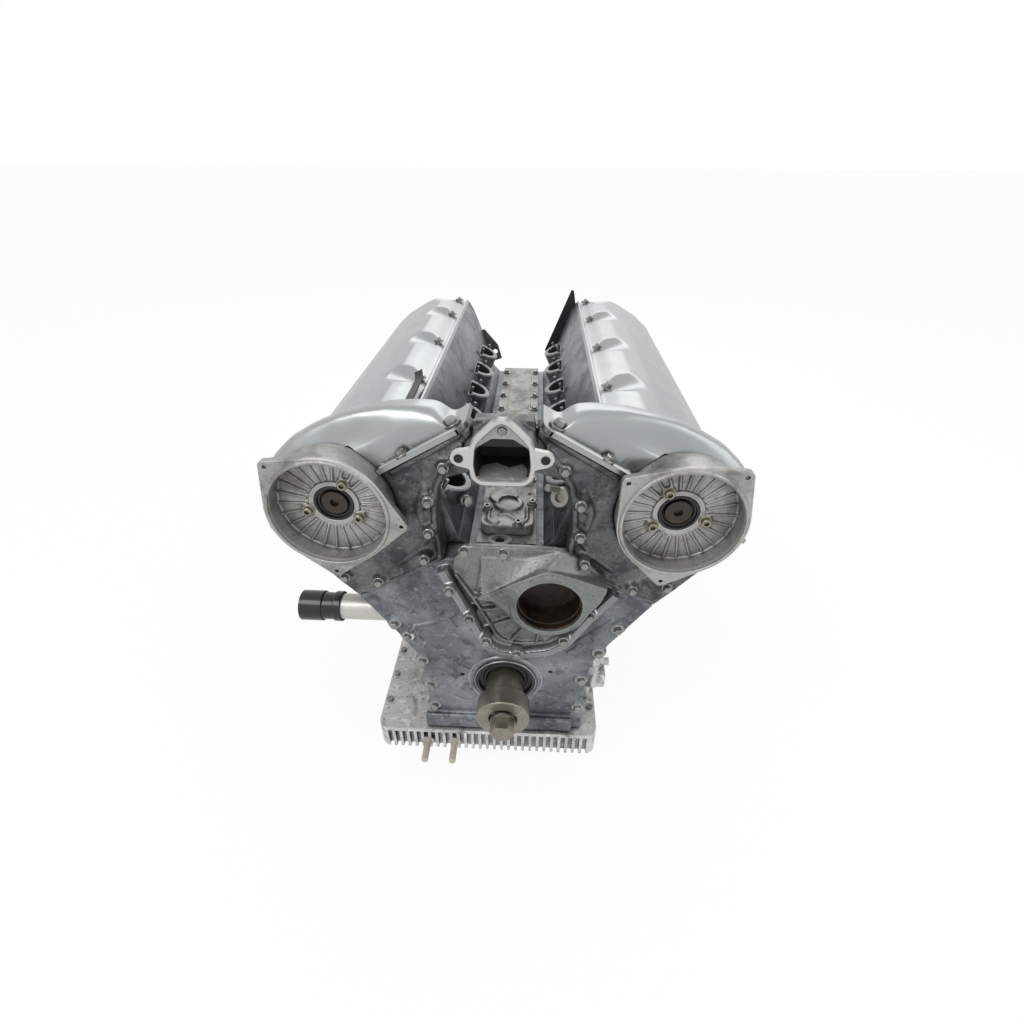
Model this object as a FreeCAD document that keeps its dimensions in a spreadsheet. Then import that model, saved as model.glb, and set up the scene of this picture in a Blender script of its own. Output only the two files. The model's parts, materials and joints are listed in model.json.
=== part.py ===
import FreeCAD, Part
import math
import os
import re
import Sketcher

# Sixty-degree twelve-cylinder engine, long block without its accessories.
# Frame: +Y runs along the crankshaft towards the gearbox, +Z up, +X to the
# right-hand bank. The origin is the centre of the crankshaft's rear flange face.
# A bank is drawn upright (local X = v, outward; local Z = u, along the
# cylinders) and then tilted about the crankshaft; the left bank is its mirror.

V = FreeCAD.Vector
ACROSS = V(0, 1, 0)

SIZES = {
    # cylinders and banks
    "bank_tilt": 30, "bore": 89, "stroke": 80, "bore_pitch": 97, "bank_stagger": 22,
    "deck": 224, "rod_length": 154, "bore_one": -554, "liner_wall": 3, "liner_foot": 85,
    "fit_gap": 0.05, "run_gap": 0.4,
    # cylinder block
    "block_rear": -14, "cover_face": -660, "cover_depth": 32, "skirt_half": 112,
    "skirt_top": 24, "pan_plane": -105, "valley_half": 46, "valley_floor": 212,
    "bank_half": 62, "crank_room": 100, "bay_shoulder": 40, "bay_crown": 103,
    "bay_crown_half": 5, "bulkhead": 22, "cap_half": 60, "cap_height": 62,
    "cap_bolt_reach": 44, "cap_bolt_radius": 6,
    # crankshaft
    "main_radius": 29, "main_shell": 2, "pin_radius": 24, "web_thickness": 14,
    "web_radius": 38, "counterweight": 74, "nose_radius": 18, "nose_front": -715,
    "flange_radius": 45, "flange_pcd": 70, "flange_bolt": 5, "flange_bolt_depth": 16,
    # crank hub, bolt and front seal
    "hub_front": -723, "hub_back": -695, "hub_radius": 35, "neck_radius": 26,
    "hub_end": -646, "washer_radius": 16.5, "washer_thickness": 4, "bolt_flats": 27,
    "bolt_head": 18, "bolt_shank": 8, "seal_radius": 41, "seal_front": -664,
    "seal_depth": 10,
    # connecting rods and pistons
    "rod_width": 21, "big_end": 34, "rod_eye": 18, "rod_web": 12, "gudgeon": 11,
    "piston_crown": 30, "piston_skirt": 22, "piston_gap": 0.2,
    # cylinder heads
    "gasket": 1.5, "cover_plane": 361.6, "head_inner": 85, "head_outer": 100,
    "well_floor": 318, "cam_height": 347.3, "exhaust_cam": 19.3, "intake_cam": -50.7,
    "saddle": 17, "cam_journal": 13.5, "cam_core": 11, "lobe_base": 16, "lobe_lift": 9,
    "lobe_width": 14, "cam_cap_half": 16, "cam_cap_foot": 6,
    "intake_port_u": 279, "intake_port_v": -78.4, "intake_port_lean": 35,
    "intake_port_radius": 20, "intake_flange": 27, "port_depth": 27,
    "exhaust_port_u": 262, "exhaust_port_radius": 17, "exhaust_port_depth": 45,
    # valves
    "intake_seat": -20, "exhaust_seat": 18, "valve_spread": 19, "intake_valve": 17,
    "exhaust_valve": 14.5, "stem_radius": 3, "tappet_radius": 14, "tappet_height": 22,
    "spring_radius": 11, "spring_foot": 262,
    # cam covers
    "cover_wall": 4, "cover_rear": -18, "lip_height": 5, "hump_plane": 354,
    "hump_front": -663, "hump_rear": -610, "hump_ridge": -628, "cover_bolt": 4,
    "cover_bolt_pitch": 158, "cover_bolt_rear": -160,
    # chain housings and distributor housings
    "housing_wall": 8, "dish_radius": 69.7, "dish_rim": -682, "dish_back": -648,
    "dish_wall": 6, "dish_floor": -658, "dish_web": 6, "dish_bore": 22.5,
    "dish_rib": 2.6, "dish_rib_count": 26, "dish_screw": 31, "recess_back": -648,
    "recess_web": 5, "lug_reach": 80, "lug_radius": 7, "lug_depth": 9,
    # timing cover and coolant pump housing
    "front_wall": 6, "ledge_height": 28, "ledge_reach": 8, "pump_x": 54, "pump_z": 174,
    "pump_bore": 39, "pump_boss": 46, "pump_front": -692, "pump_step": -686,
    "pump_flange": 8, "pump_depth": 12,
    # coolant outlet and valley
    "outlet_front": -698, "outlet_flange": 7, "outlet_wall": 5, "outlet_ear": 42,
    "outlet_ear_z": 374, "outlet_hole": 3.5, "outlet_back": -640, "valley_top": 219,
    "valley_plate_half": 36, "valley_plate_front": -636, "case_front": -613,
    "case_length": 90, "case_half": 33, "case_height": 15, "eye_hole": 6,
    # oil pan
    "pan_left": -192, "pan_right": 137, "pan_front": -672, "pan_depth": 45,
    "pan_wall": 6, "sump_bottom": -190, "sump_front": -480, "sump_rear": -120,
    "sump_left": -150, "sump_right": 110, "fin_count": 28, "fin_depth": 7,
    "pan_bolt_pitch": 50, "pan_pin_radius": 5, "pan_pin_length": 33,
    # side fittings
    "filler_y": -636, "filler_z": 110, "filler_radius": 17, "filler_root": -146,
    "filler_end": -217, "cap_radius": 20, "cap_end": -272,
    # timing drive
    "chain_pitch": 9.525, "crank_teeth": 16, "cam_teeth": 32, "sprocket_width": 3,
    "chain_width": 5, "chain_thickness": 4, "row_right": -639, "row_left": -631.8,
    # standard fasteners
    "small_bolt": 3, "small_head": 6, "head_height": 5,
}

doc = FreeCAD.newDocument("v_twelve_engine")
sheet = doc.addObject("Spreadsheet::Sheet", "Sizes")
for row, (alias, value) in enumerate(SIZES.items(), start=1):
    sheet.set(f"A{row}", alias)
    sheet.set(f"B{row}", str(value))
    sheet.setAlias(f"B{row}", alias)
doc.recompute()

WORD = re.compile(r"[a-z_]+[a-z]")
parts = {}


def val(text):
    """Value of an expression over the sheet's names."""
    return float(sheet.evalExpression(str(text)))


def qualify(text):
    """The same expression as another object of the document reads it."""
    return WORD.sub(lambda m: "Sizes." + m.group() if m.group() in SIZES else m.group(), str(text))


def bind(obj, **props):
    for prop, text in props.items():
        obj.setExpression(prop.replace("_", "."), qualify(text))


def place(obj, x="0", y="0", z="0", tilt=None):
    """Bind an object's place and, for a bank piece, its tilt to the sheet."""
    if tilt is not None:
        obj.Placement = FreeCAD.Placement(V(0, 0, 0), FreeCAD.Rotation(ACROSS, 15))
        bind(obj, Placement_Rotation_Angle=tilt)
    bind(obj, Placement_Base_x=x, Placement_Base_y=y, Placement_Base_z=z)
    return obj


def box(name, x, y, z):
    """Box between two stations on each axis, each given as a (low, high) pair."""
    obj = doc.addObject("Part::Box", name)
    bind(obj, Length=f"({x[1]})-({x[0]})", Width=f"({y[1]})-({y[0]})", Height=f"({z[1]})-({z[0]})")
    return place(obj, x[0], y[0], z[0])


def rod_y(name, radius, y, x="0", z="0"):
    """Cylinder along Y between two stations."""
    obj = doc.addObject("Part::Cylinder", name)
    obj.Placement = FreeCAD.Placement(V(0, 0, 0), FreeCAD.Rotation(V(1, 0, 0), -90))
    bind(obj, Radius=radius, Height=f"({y[1]})-({y[0]})")
    return place(obj, x, y[0], z)


def rod_z(name, radius, z, x="0", y="0"):
    obj = doc.addObject("Part::Cylinder", name)
    bind(obj, Radius=radius, Height=f"({z[1]})-({z[0]})")
    return place(obj, x, y, z[0])


def rod_x(name, radius, x, y="0", z="0"):
    obj = doc.addObject("Part::Cylinder", name)
    obj.Placement = FreeCAD.Placement(V(0, 0, 0), FreeCAD.Rotation(ACROSS, 90))
    bind(obj, Radius=radius, Height=f"({x[1]})-({x[0]})")
    return place(obj, x[0], y, z)


def fuse(name, shapes):
    obj = doc.addObject("Part::MultiFuse", name)
    obj.Shapes = shapes
    return obj


def cut(name, base, tool):
    obj = doc.addObject("Part::Cut", name)
    obj.Base = base
    obj.Tool = tool if not isinstance(tool, list) else fuse(name + "_tools", tool)
    return obj


def origin_feature(body, role):
    return next(o for o in body.Origin.OriginFeatures if o.Role == role)


def trace(sketch, points):
    """Closed outline in a sketch, every corner bound to the sheet."""
    corners = [V(val(x), val(z), 0) for x, z in points]
    count = len(points)
    for i in range(count):
        sketch.addGeometry(Part.LineSegment(corners[i], corners[(i + 1) % count]))
    for i in range(count):
        sketch.addConstraint(Sketcher.Constraint("Coincident", i, 2, (i + 1) % count, 1))
    for i, (x, z) in enumerate(points):
        for kind, text, number in (("DistanceX", x, corners[i].x), ("DistanceY", z, corners[i].y)):
            index = sketch.addConstraint(Sketcher.Constraint(kind, -1, 1, i, 1, number))
            sketch.setExpression(f"Constraints[{index}]", qualify(text))
    return sketch


def section(body, name, points):
    """Outline on the body's XZ plane."""
    sketch = body.newObject("Sketcher::SketchObject", name)
    sketch.AttachmentSupport = [(origin_feature(body, "XZ_Plane"), "")]
    sketch.MapMode = "FlatFace"
    return trace(sketch, points)


def station(name, points, y):
    """Free-standing outline across the engine at a station along Y."""
    sketch = doc.addObject("Sketcher::SketchObject", name)
    sketch.Placement = FreeCAD.Placement(V(0, 0, 0), FreeCAD.Rotation(V(1, 0, 0), 90))
    return place(trace(sketch, points), y=y)


def prism(name, points, y, repeat=None):
    """Outline padded along Y between two stations; repeat = (count, pitch) along +Y."""
    body = doc.addObject("PartDesign::Body", name)
    sketch = section(body, name + "_outline", points)
    pad = body.newObject("PartDesign::Pad", name + "_pad")
    pad.Profile = sketch
    bind(pad, Length=f"({y[1]})-({y[0]})")
    if repeat:
        rows = body.newObject("PartDesign::LinearPattern", name + "_row")
        rows.Originals = [pad]
        rows.Direction = (origin_feature(body, "Y_Axis"), [""])
        rows.Occurrences = repeat[0]
        bind(rows, Length=f"({repeat[0]}-1)*({repeat[1]})")
        body.Tip = rows
    return place(body, y=y[1])


def mirrored(points):
    """The outline of a symmetrical piece from its right-hand half."""
    return points + [(f"-({x})", z) for x, z in reversed(points)]


def on_bank(u, v):
    """Frame X and Z of a point of the right-hand bank."""
    x = f"({u})*sin(bank_tilt)+({v})*cos(bank_tilt)"
    z = f"({u})*cos(bank_tilt)-({v})*sin(bank_tilt)"
    return x, z


def solid(name, shape):
    """Piece whose shape is computed here from the sheet's values."""
    obj = doc.addObject("Part::Feature", name)
    obj.Shape = shape
    return obj


def mirror(name, source):
    obj = doc.addObject("Part::Mirroring", name)
    obj.Source = source
    obj.Normal = V(1, 0, 0)
    return obj


def node(name, obj):
    """Keep an object as one of the engine's pieces."""
    obj.Label = name
    parts[name] = obj
    return obj


def bank_axis(side, u, v, y):
    """Point of a bank in the engine frame; side is +1 right, -1 left."""
    tilt = math.radians(val("bank_tilt"))
    x = u * math.sin(tilt) + v * math.cos(tilt)
    return V(side * x, y, u * math.cos(tilt) - v * math.sin(tilt))


def bank_direction(side, u, v):
    return bank_axis(side, u, v, 0)


def bore_station(side, index):
    shift = 0 if side > 0 else val("bank_stagger")
    return val("bore_one") - shift + index * val("bore_pitch")


def hex_bolt(centre, direction, radius, head, height, reach):
    """Hexagon-head bolt seated at centre, its head along direction."""
    corners = [V(head * math.cos(a), head * math.sin(a), 0) for a in
               (math.radians(60 * k) for k in range(7))]
    hexagon = Part.Face(Part.makePolygon(corners)).extrude(V(0, 0, height))
    shank = Part.makeCylinder(radius, reach, V(0, 0, -reach))
    bolt = hexagon.fuse(shank)
    bolt.Placement = FreeCAD.Placement(centre, FreeCAD.Rotation(V(0, 0, 1), direction))
    return bolt


def small_bolt(centre, direction):
    return hex_bolt(centre, direction, val("small_bolt"), val("small_head"),
                    val("head_height"), val("front_wall"))


def bolt_holes(name, places, depth):
    """Clearance holes for bolts given as (centre, direction)."""
    radius = val("small_bolt + fit_gap")
    drills = [Part.makeCylinder(radius, depth, centre - direction * depth, direction)
              for centre, direction in places]
    return solid(name, Part.makeCompound(drills))


SIDES = {"right": 1, "left": -1}
FRONT = "cover_face"
BLOCK_FRONT = "cover_face+cover_depth"
FORWARD = V(0, -1, 0)
PIN_ONE = "bore_one-bank_stagger/2"
PIN_LENGTH = "bank_stagger*2"

# Cylinder block: one casting with a deep skirt, six crank bays and twelve bores.
half = [("skirt_half", "pan_plane"), ("skirt_half", "skirt_top"), on_bank("deck", "bank_half"),
        on_bank("deck", "-bank_half"), ("valley_half", "valley_floor")]
casting = prism("block_casting", mirrored(half), (BLOCK_FRONT, "block_rear"))
tunnel = box("crank_tunnel", ("-crank_room", "crank_room"), (BLOCK_FRONT + "-1", "block_rear+1"),
             ("pan_plane-1", "0"))
bay_half = [("crank_room", "-1"), ("crank_room", "bay_shoulder"),
            on_bank("liner_foot+7", "bore/2+liner_wall"), ("bay_crown_half", "bay_crown")]
bay_reach = "(bore_pitch-bulkhead)/2"
bays = prism("crank_bays", mirrored(bay_half), (f"{PIN_ONE}-{bay_reach}", f"{PIN_ONE}+{bay_reach}"),
             (6, "bore_pitch"))
main_bore = rod_y("main_bore", "main_radius+main_shell", (BLOCK_FRONT + "-1", "block_rear+1"))


def bank_cylinders(name, radius, foot, top, inner=None):
    """Twelve cylinders, or tubes, along the bores."""
    pieces = []
    for side in SIDES.values():
        up = bank_direction(side, 1, 0)
        for index in range(6):
            base = bank_axis(side, foot, 0, bore_station(side, index))
            piece = Part.makeCylinder(radius, top - foot, base, up)
            if inner:
                piece = piece.cut(Part.makeCylinder(inner, top - foot, base, up))
            pieces.append(piece)
    return solid(name, Part.makeCompound(pieces))


bores = bank_cylinders("bore_cuts", val("bore/2+liner_wall+fit_gap"), val("liner_foot"),
                       val("deck+1"))
flange_way = rod_y("flange_way", "flange_radius+run_gap", ("block_rear-6", "block_rear+1"))
block = cut("block", casting, [tunnel, bays, main_bore, flange_way, bores])
node("cylinder_block", block)
node("cylinder_liners", bank_cylinders("liners", val("bore/2+liner_wall"), val("liner_foot"),
                                       val("deck"), val("bore/2")))

# Main bearing caps with their bolts, and the bearing shells.
cap_front = f"{PIN_ONE}-bore_pitch/2-bulkhead/2"
main_caps = prism("main_caps", mirrored([("cap_half", "-fit_gap"), ("cap_half", "-cap_height*0.6"),
                                         ("cap_half-16", "-cap_height")]),
                  (cap_front, cap_front + "+bulkhead"), (7, "bore_pitch"))
MAIN_STATIONS = [val(f"{PIN_ONE}-bore_pitch/2") + k * val("bore_pitch") for k in range(7)]
cap_seats = [V(side * val("cap_bolt_reach"), y, -val("cap_height"))
             for y in MAIN_STATIONS for side in (-1, 1)]
cap_holes = solid("cap_holes", Part.makeCompound(
    [Part.makeCylinder(val("cap_bolt_radius+fit_gap"), val("cap_height"), seat)
     for seat in cap_seats]))
caps = cut("caps", main_caps, [main_bore, cap_holes])
cap_bolts = solid("cap_bolts", Part.makeCompound(
    [hex_bolt(seat, V(0, 0, -1), val("cap_bolt_radius"), val("cap_bolt_radius*1.7"), 9,
              val("cap_height-1")) for seat in cap_seats]))
main_set = doc.addObject("Part::Compound", "main_set")
main_set.Links = [caps, cap_bolts]
node("main_bearing_caps", main_set)

shells = []
for y in MAIN_STATIONS:
    base = V(0, y - val("bulkhead/2"), 0)
    ring = Part.makeCylinder(val("main_radius+main_shell-fit_gap"), val("bulkhead"), base, ACROSS)
    shells.append(ring.cut(Part.makeCylinder(val("main_radius+fit_gap"), val("bulkhead"), base, ACROSS)))
node("main_bearing_shells", solid("shells", Part.makeCompound(shells)))

# Crankshaft: three pairs of crankpins 120 degrees apart. The pins themselves are
# carried by their rods, so this piece holds the journals, webs and counterweights.
PIN_ANGLES = [30, 150, 270, 270, 150, 30]


def crank_point(angle, radius, y):
    """Point at an angle from +Z towards +X about the crankshaft's axis."""
    a = math.radians(angle)
    return V(radius * math.sin(a), y, radius * math.cos(a))


def web(angle, y):
    """Web and counterweight between a main journal and a crankpin, y is its front."""
    thick = val("web_thickness")
    throw = val("stroke/2")
    hub = Part.makeCylinder(val("web_radius"), thick, V(0, 0, 0))
    pin_end = Part.makeCylinder(val("web_radius-4"), thick, V(throw, 0, 0))
    bridge = Part.makeBox(throw, val("web_radius*2-8"), thick, V(0, 4 - val("web_radius"), 0))
    weight = Part.makeCylinder(val("counterweight"), thick, V(0, 0, 0), V(0, 0, 1), 130)
    weight.rotate(V(0, 0, 0), V(0, 0, 1), 115)
    piece = hub.fuse([pin_end, bridge, weight])
    piece.rotate(V(0, 0, 0), V(1, 0, 0), -90)
    piece.rotate(V(0, 0, 0), ACROSS, angle - 90)
    piece.translate(V(0, y, 0))
    return piece


half_pin = val("bank_stagger") + val("run_gap")
journal = val("main_radius")
sections = []
for k, y in enumerate(MAIN_STATIONS):
    reach = val("bore_pitch/2") - half_pin - val("web_thickness")
    front, back = y - reach, y + reach
    if k == 0:
        front = y - val("bulkhead/2+1")
    if k == 6:
        back = y + val("bulkhead/2+1")
    piece = Part.makeCylinder(journal, back - front, V(0, front, 0), ACROSS)
    if k > 0:
        piece = piece.fuse(web(PIN_ANGLES[k - 1], front - val("web_thickness")))
    if k < 6:
        piece = piece.fuse(web(PIN_ANGLES[k], back))
    if k == 0:
        nose = val("nose_front")
        piece = piece.fuse(Part.makeCylinder(val("nose_radius"), front - nose, V(0, nose, 0), ACROSS))
        piece = piece.cut(Part.makeCylinder(val("bolt_shank+fit_gap"), 40, V(0, nose, 0), ACROSS))
    if k == 6:
        piece = piece.fuse(Part.makeCylinder(val("flange_radius"), -back, V(0, back, 0), ACROSS))
        depth = val("flange_bolt_depth")
        for i in range(8):
            at = crank_point(45 * i, val("flange_pcd/2"), -depth)
            piece = piece.cut(Part.makeCylinder(val("flange_bolt"), depth, at, ACROSS))
    sections.append(piece)
node("crankshaft", solid("crank_sections", Part.makeCompound(sections)))

# Connecting rods and pistons: two cylinders of a bank share a crank phase.
FIRING_PAIRS = [(0, 5), (1, 4), (2, 3)]


def pin_height(side, angle):
    """Height of the gudgeon pin along the bank for a crankpin angle."""
    throw = val("stroke/2")
    phase = math.radians(angle - side * val("bank_tilt"))
    return throw * math.cos(phase) + math.sqrt(val("rod_length") ** 2 - (throw * math.sin(phase)) ** 2)


def lying(radius, length, centre):
    """Cylinder along Y centred on a point."""
    return Part.makeCylinder(radius, length, centre - V(0, length / 2, 0), ACROSS)


def rod_set(side, index):
    """Rod, its cap and the stretch of crankpin that it turns on."""
    y = bore_station(side, index)
    small = bank_axis(side, pin_height(side, PIN_ANGLES[index]), 0, y)
    big = crank_point(PIN_ANGLES[index], val("stroke/2"), y)
    along = (small - big).normalize()
    width = val("rod_width")
    sideways = along.cross(ACROSS)
    shank = Part.makeBox(val("rod_length"), val("rod_eye*1.3"), width * 0.6,
                         V(0, -val("rod_eye*0.65"), -width * 0.3))
    shank.Placement = FreeCAD.Placement(big, FreeCAD.Rotation(along, sideways, ACROSS, "XYZ"))
    rod = lying(val("big_end"), width, big).fuse([lying(val("rod_eye"), width, small), shank])
    rod = rod.cut(lying(val("pin_radius+fit_gap"), width + 2, big))
    rod = rod.cut(lying(val("gudgeon+fit_gap"), width + 2, small))
    split = Part.makeBox(90, 90, width + 2, V(-90, -45, -width / 2 - 1))
    split.Placement = FreeCAD.Placement(big - along * 0.1, FreeCAD.Rotation(along, sideways, ACROSS, "XYZ"))
    lower = rod.common(split)
    upper = rod.cut(split)
    return [upper, lower, lying(val("pin_radius"), width, big)]


def piston_set(side, index):
    """Piston, hollow below its crown, and its gudgeon pin."""
    y = bore_station(side, index)
    height = pin_height(side, PIN_ANGLES[index])
    up = bank_direction(side, 1, 0)
    radius = val("bore/2-piston_gap")
    foot = bank_axis(side, height - val("piston_skirt"), 0, y)
    total = val("piston_skirt+piston_crown")
    body = Part.makeCylinder(radius, total, foot, up)
    room = Part.makeCylinder(radius - 5, total - 9, foot, up)
    bosses = lying(val("gudgeon+6"), 2 * radius, bank_axis(side, height, 0, y)).common(body)
    room = room.cut(bosses.cut(lying(val("gudgeon+8"), val("rod_width+3"), bank_axis(side, height, 0, y))))
    body = body.cut(room)
    for groove in (5, 11, 17):
        at = bank_axis(side, height + val("piston_crown") - groove - 2, 0, y)
        ring = Part.makeCylinder(radius + 1, 2, at, up).cut(Part.makeCylinder(radius - 3, 2, at, up))
        body = body.cut(ring)
    centre = bank_axis(side, height, 0, y)
    body = body.cut(lying(val("gudgeon+fit_gap"), 2 * radius, centre))
    return [body, lying(val("gudgeon"), 2 * radius - 8, centre)]


for word, side in SIDES.items():
    for first, second in FIRING_PAIRS:
        label = f"{word}_{first + 1}_{second + 1}"
        rods = rod_set(side, first) + rod_set(side, second)
        pistons = piston_set(side, first) + piston_set(side, second)
        node(f"rods_{label}", solid(f"rods_{label}_shape", Part.makeCompound(rods)))
        node(f"pistons_{label}", solid(f"pistons_{label}_shape", Part.makeCompound(pistons)))

# Crank hub, its bolt and the front seal.
hub = cut("hub", fuse("hub_blank", [rod_y("hub_rim", "hub_radius", ("hub_front", "hub_back")),
                                    rod_y("hub_neck", "neck_radius", ("hub_back", "hub_end"))]),
          rod_y("hub_bore", "nose_radius+fit_gap", ("hub_front-1", "hub_end+1")))
node("crank_hub", hub)
bolt_seat = val("hub_front")
flats = val("bolt_flats")
crank_bolt = hex_bolt(V(0, bolt_seat - val("washer_thickness"), 0), FORWARD, val("bolt_shank"),
                      flats / math.sqrt(3), val("bolt_head"), 40)
washer = Part.makeCylinder(val("washer_radius"), val("washer_thickness"), V(0, bolt_seat, 0), FORWARD)
node("crank_bolt", solid("crank_bolt_shape", crank_bolt.fuse(washer)))
seal = cut("seal", rod_y("seal_ring", "seal_radius", ("seal_front", "seal_front+seal_depth")),
           rod_y("seal_bore", "neck_radius+fit_gap", ("seal_front-1", "seal_front+seal_depth+1")))
node("crank_front_seal", seal)

# Rear seal carrier closes the crankcase behind the last main bearing.
carrier = box("carrier_plate", ("-crank_room-8", "crank_room+8"), ("block_rear", "block_rear+9"),
              ("pan_plane", "75"))
carrier_bore = rod_y("carrier_bore", "flange_radius+fit_gap", ("block_rear-1", "block_rear+12"))
node("rear_seal_carrier", cut("carrier", carrier, carrier_bore))

# Timing drive: two sprockets on the crank nose, one on each exhaust camshaft, and
# a 1:1 gear pair between the two camshafts of a bank.


def sprocket_wire(teeth, tip, root):
    corners = []
    for k in range(teeth):
        for share, radius in ((0.0, root), (0.28, root), (0.42, tip), (0.58, tip), (0.72, root)):
            a = 2 * math.pi * (k + share) / teeth
            corners.append(V(radius * math.sin(a), 0, radius * math.cos(a)))
    return Part.makePolygon(corners + [corners[0]])


def toothed(teeth, tip, root, bore, y, width):
    """Toothed wheel about the frame's Y axis, centred on station y."""
    disc = Part.Face(sprocket_wire(teeth, tip, root)).extrude(V(0, width, 0))
    disc = disc.cut(Part.makeCylinder(bore, width + 2, V(0, -1, 0), ACROSS))
    disc.translate(V(0, y - width / 2, 0))
    return disc


def pitch_radius(teeth):
    return val("chain_pitch") / (2 * math.sin(math.pi / teeth))


TOOTH = 2.6
crank_teeth = int(val("crank_teeth"))
cam_teeth = int(val("cam_teeth"))
nose_bore = val("nose_radius+fit_gap")
crank_tip = pitch_radius(crank_teeth) + TOOTH
hub_sleeve = Part.makeCylinder(nose_bore + 5, val("row_left-row_right"), V(0, val("row_right"), 0), ACROSS)
hub_sleeve = hub_sleeve.cut(Part.makeCylinder(nose_bore, 60, V(0, val("row_right") - 10, 0), ACROSS))
crank_wheel = hub_sleeve
for key in ("row_right", "row_left"):
    wheel = toothed(crank_teeth, crank_tip, crank_tip - 5, nose_bore, val(key), val("sprocket_width"))
    crank_wheel = crank_wheel.fuse(wheel)
node("crank_sprocket", solid("crank_wheel", crank_wheel))

# Camshafts: twelve lobes each, a nose that reaches the distributor bore on the
# exhaust shafts, a sprocket there and a gear on every shaft.
LOBE_ANGLES = [0, 240, 120, 300, 60, 180]
GEAR_FRONT = "cover_face+cover_depth+1.5"
GEAR_WIDTH = 7


def lobe(angle, y):
    """Cam lobe with its nose at an angle, about the Y axis, y is its front."""
    base, lift, width = val("lobe_base"), val("lobe_lift"), val("lobe_width")
    tip = base * 0.5
    reach = base + lift - tip
    body = Part.makeCylinder(base, width, V(0, y, 0), ACROSS)
    nose = Part.makeCylinder(tip, width, crank_point(angle, reach, y), ACROSS)
    lean = math.degrees(math.acos((base - tip) / reach))
    flank = [crank_point(angle - lean, base, y)]
    flank.append(crank_point(angle - lean, tip, y) + crank_point(angle, reach, 0))
    flank.append(crank_point(angle + lean, tip, y) + crank_point(angle, reach, 0))
    flank.append(crank_point(angle + lean, base, y))
    sides = Part.Face(Part.makePolygon(flank + [flank[0]])).extrude(V(0, width, 0))
    return body.fuse([nose, sides])


def camshaft(side, row):
    """Shaft of one camshaft about its own axis, then carried to its place."""
    exhaust = row == "exhaust"
    rear = val("block_rear") - 12
    front = val(GEAR_FRONT)
    if exhaust:
        front = val("dish_floor")
    shaft = Part.makeCylinder(val("cam_core"), rear - front, V(0, front, 0), ACROSS)
    pieces = []
    for index in range(6):
        y = bore_station(side, index)
        start = LOBE_ANGLES[index] + (90 if exhaust else 210)
        for spread in (-1, 1):
            pieces.append(lobe(start, y + spread * val("valve_spread") - val("lobe_width/2")))
        journal_y = y + val("bore_pitch/2-saddle/2")
        if journal_y + val("saddle") < rear:
            pieces.append(Part.makeCylinder(val("cam_journal"), val("saddle"), V(0, journal_y, 0), ACROSS))
    radius = (val("exhaust_cam") - val("intake_cam")) / 2
    gear = toothed(36, radius + 0.6, radius - 2.2, val("cam_core-1"), val(GEAR_FRONT) + GEAR_WIDTH / 2, GEAR_WIDTH)
    turn = 270 if exhaust else 95
    gear.rotate(V(0, 0, 0), ACROSS, turn)
    pieces.append(gear)
    if exhaust:
        row_y = val("row_right") if side > 0 else val("row_left")
        tip = pitch_radius(cam_teeth) + TOOTH
        pieces.append(toothed(cam_teeth, tip, tip - 5, val("cam_core-1"), row_y, val("sprocket_width")))
        pieces.append(Part.makeCylinder(val("dish_bore-8"), 7, V(0, front, 0), ACROSS))
        socket = Part.makeCylinder(5, 5, V(0, front - 1, 0), ACROSS)
    shaft = shaft.fuse(pieces)
    if exhaust:
        shaft = shaft.cut(socket)
    shaft.translate(bank_axis(side, val("cam_height"), val(f"{row}_cam"), 0))
    return shaft


for word, side in SIDES.items():
    for row in ("intake", "exhaust"):
        node(f"{word}_{row}_camshaft", solid(f"{word}_{row}_shaft", camshaft(side, row)))


def loop_solid(far, near_radius, far_radius, y, width):
    """Solid within a belt's loop round the crank axis and a point far from it."""
    distance = far.Length
    along = V(far).normalize()
    sideways = along.cross(ACROSS)
    lean = math.asin((far_radius - near_radius) / distance)
    corners = []
    for sign in (-1, 1):
        normal = sideways * (sign * math.cos(lean)) - along * math.sin(lean)
        corners.append((normal * near_radius, far + normal * far_radius))
    outline = [corners[0][0], corners[0][1], corners[1][1], corners[1][0], corners[0][0]]
    middle = Part.Face(Part.makePolygon(outline)).extrude(V(0, width, 0))
    ends = [Part.makeCylinder(near_radius, width, V(0, 0, 0), ACROSS),
            Part.makeCylinder(far_radius, width, far, ACROSS)]
    loop = middle.fuse(ends).removeSplitter()
    loop.translate(V(0, y - width / 2, 0))
    return loop


def loop_band(far, y, inner, outer, width):
    """Band between two offsets from the sprockets' tips."""
    near, wide = crank_tip, pitch_radius(cam_teeth) + TOOTH
    return loop_solid(far, near + outer, wide + outer, y, width).cut(
        loop_solid(far, near + inner, wide + inner, y, width + 2))


rails = []
for word, side in SIDES.items():
    far = bank_axis(side, val("cam_height"), val("exhaust_cam"), 0)
    y = val("row_right") if side > 0 else val("row_left")
    slack = 0.3
    band = loop_band(far, y, slack, slack + val("chain_thickness"), val("chain_width"))
    node(f"{word}_timing_chain", solid(f"{word}_chain_band", band))
    outer = slack + val("chain_thickness")
    rail = loop_band(far, y, outer + 0.3, outer + 5, val("chain_width"))
    keep = Part.makeBox(360, 40, 120, V(-180, y - 20, 70))
    rail = rail.common(keep)
    rails.append(rail)
node("chain_guides", solid("guide_rails", Part.makeCompound(rails)))

# Valve gear: valves, springs and tappets lie on axes that run from the combustion
# chamber to their camshaft.


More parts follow.
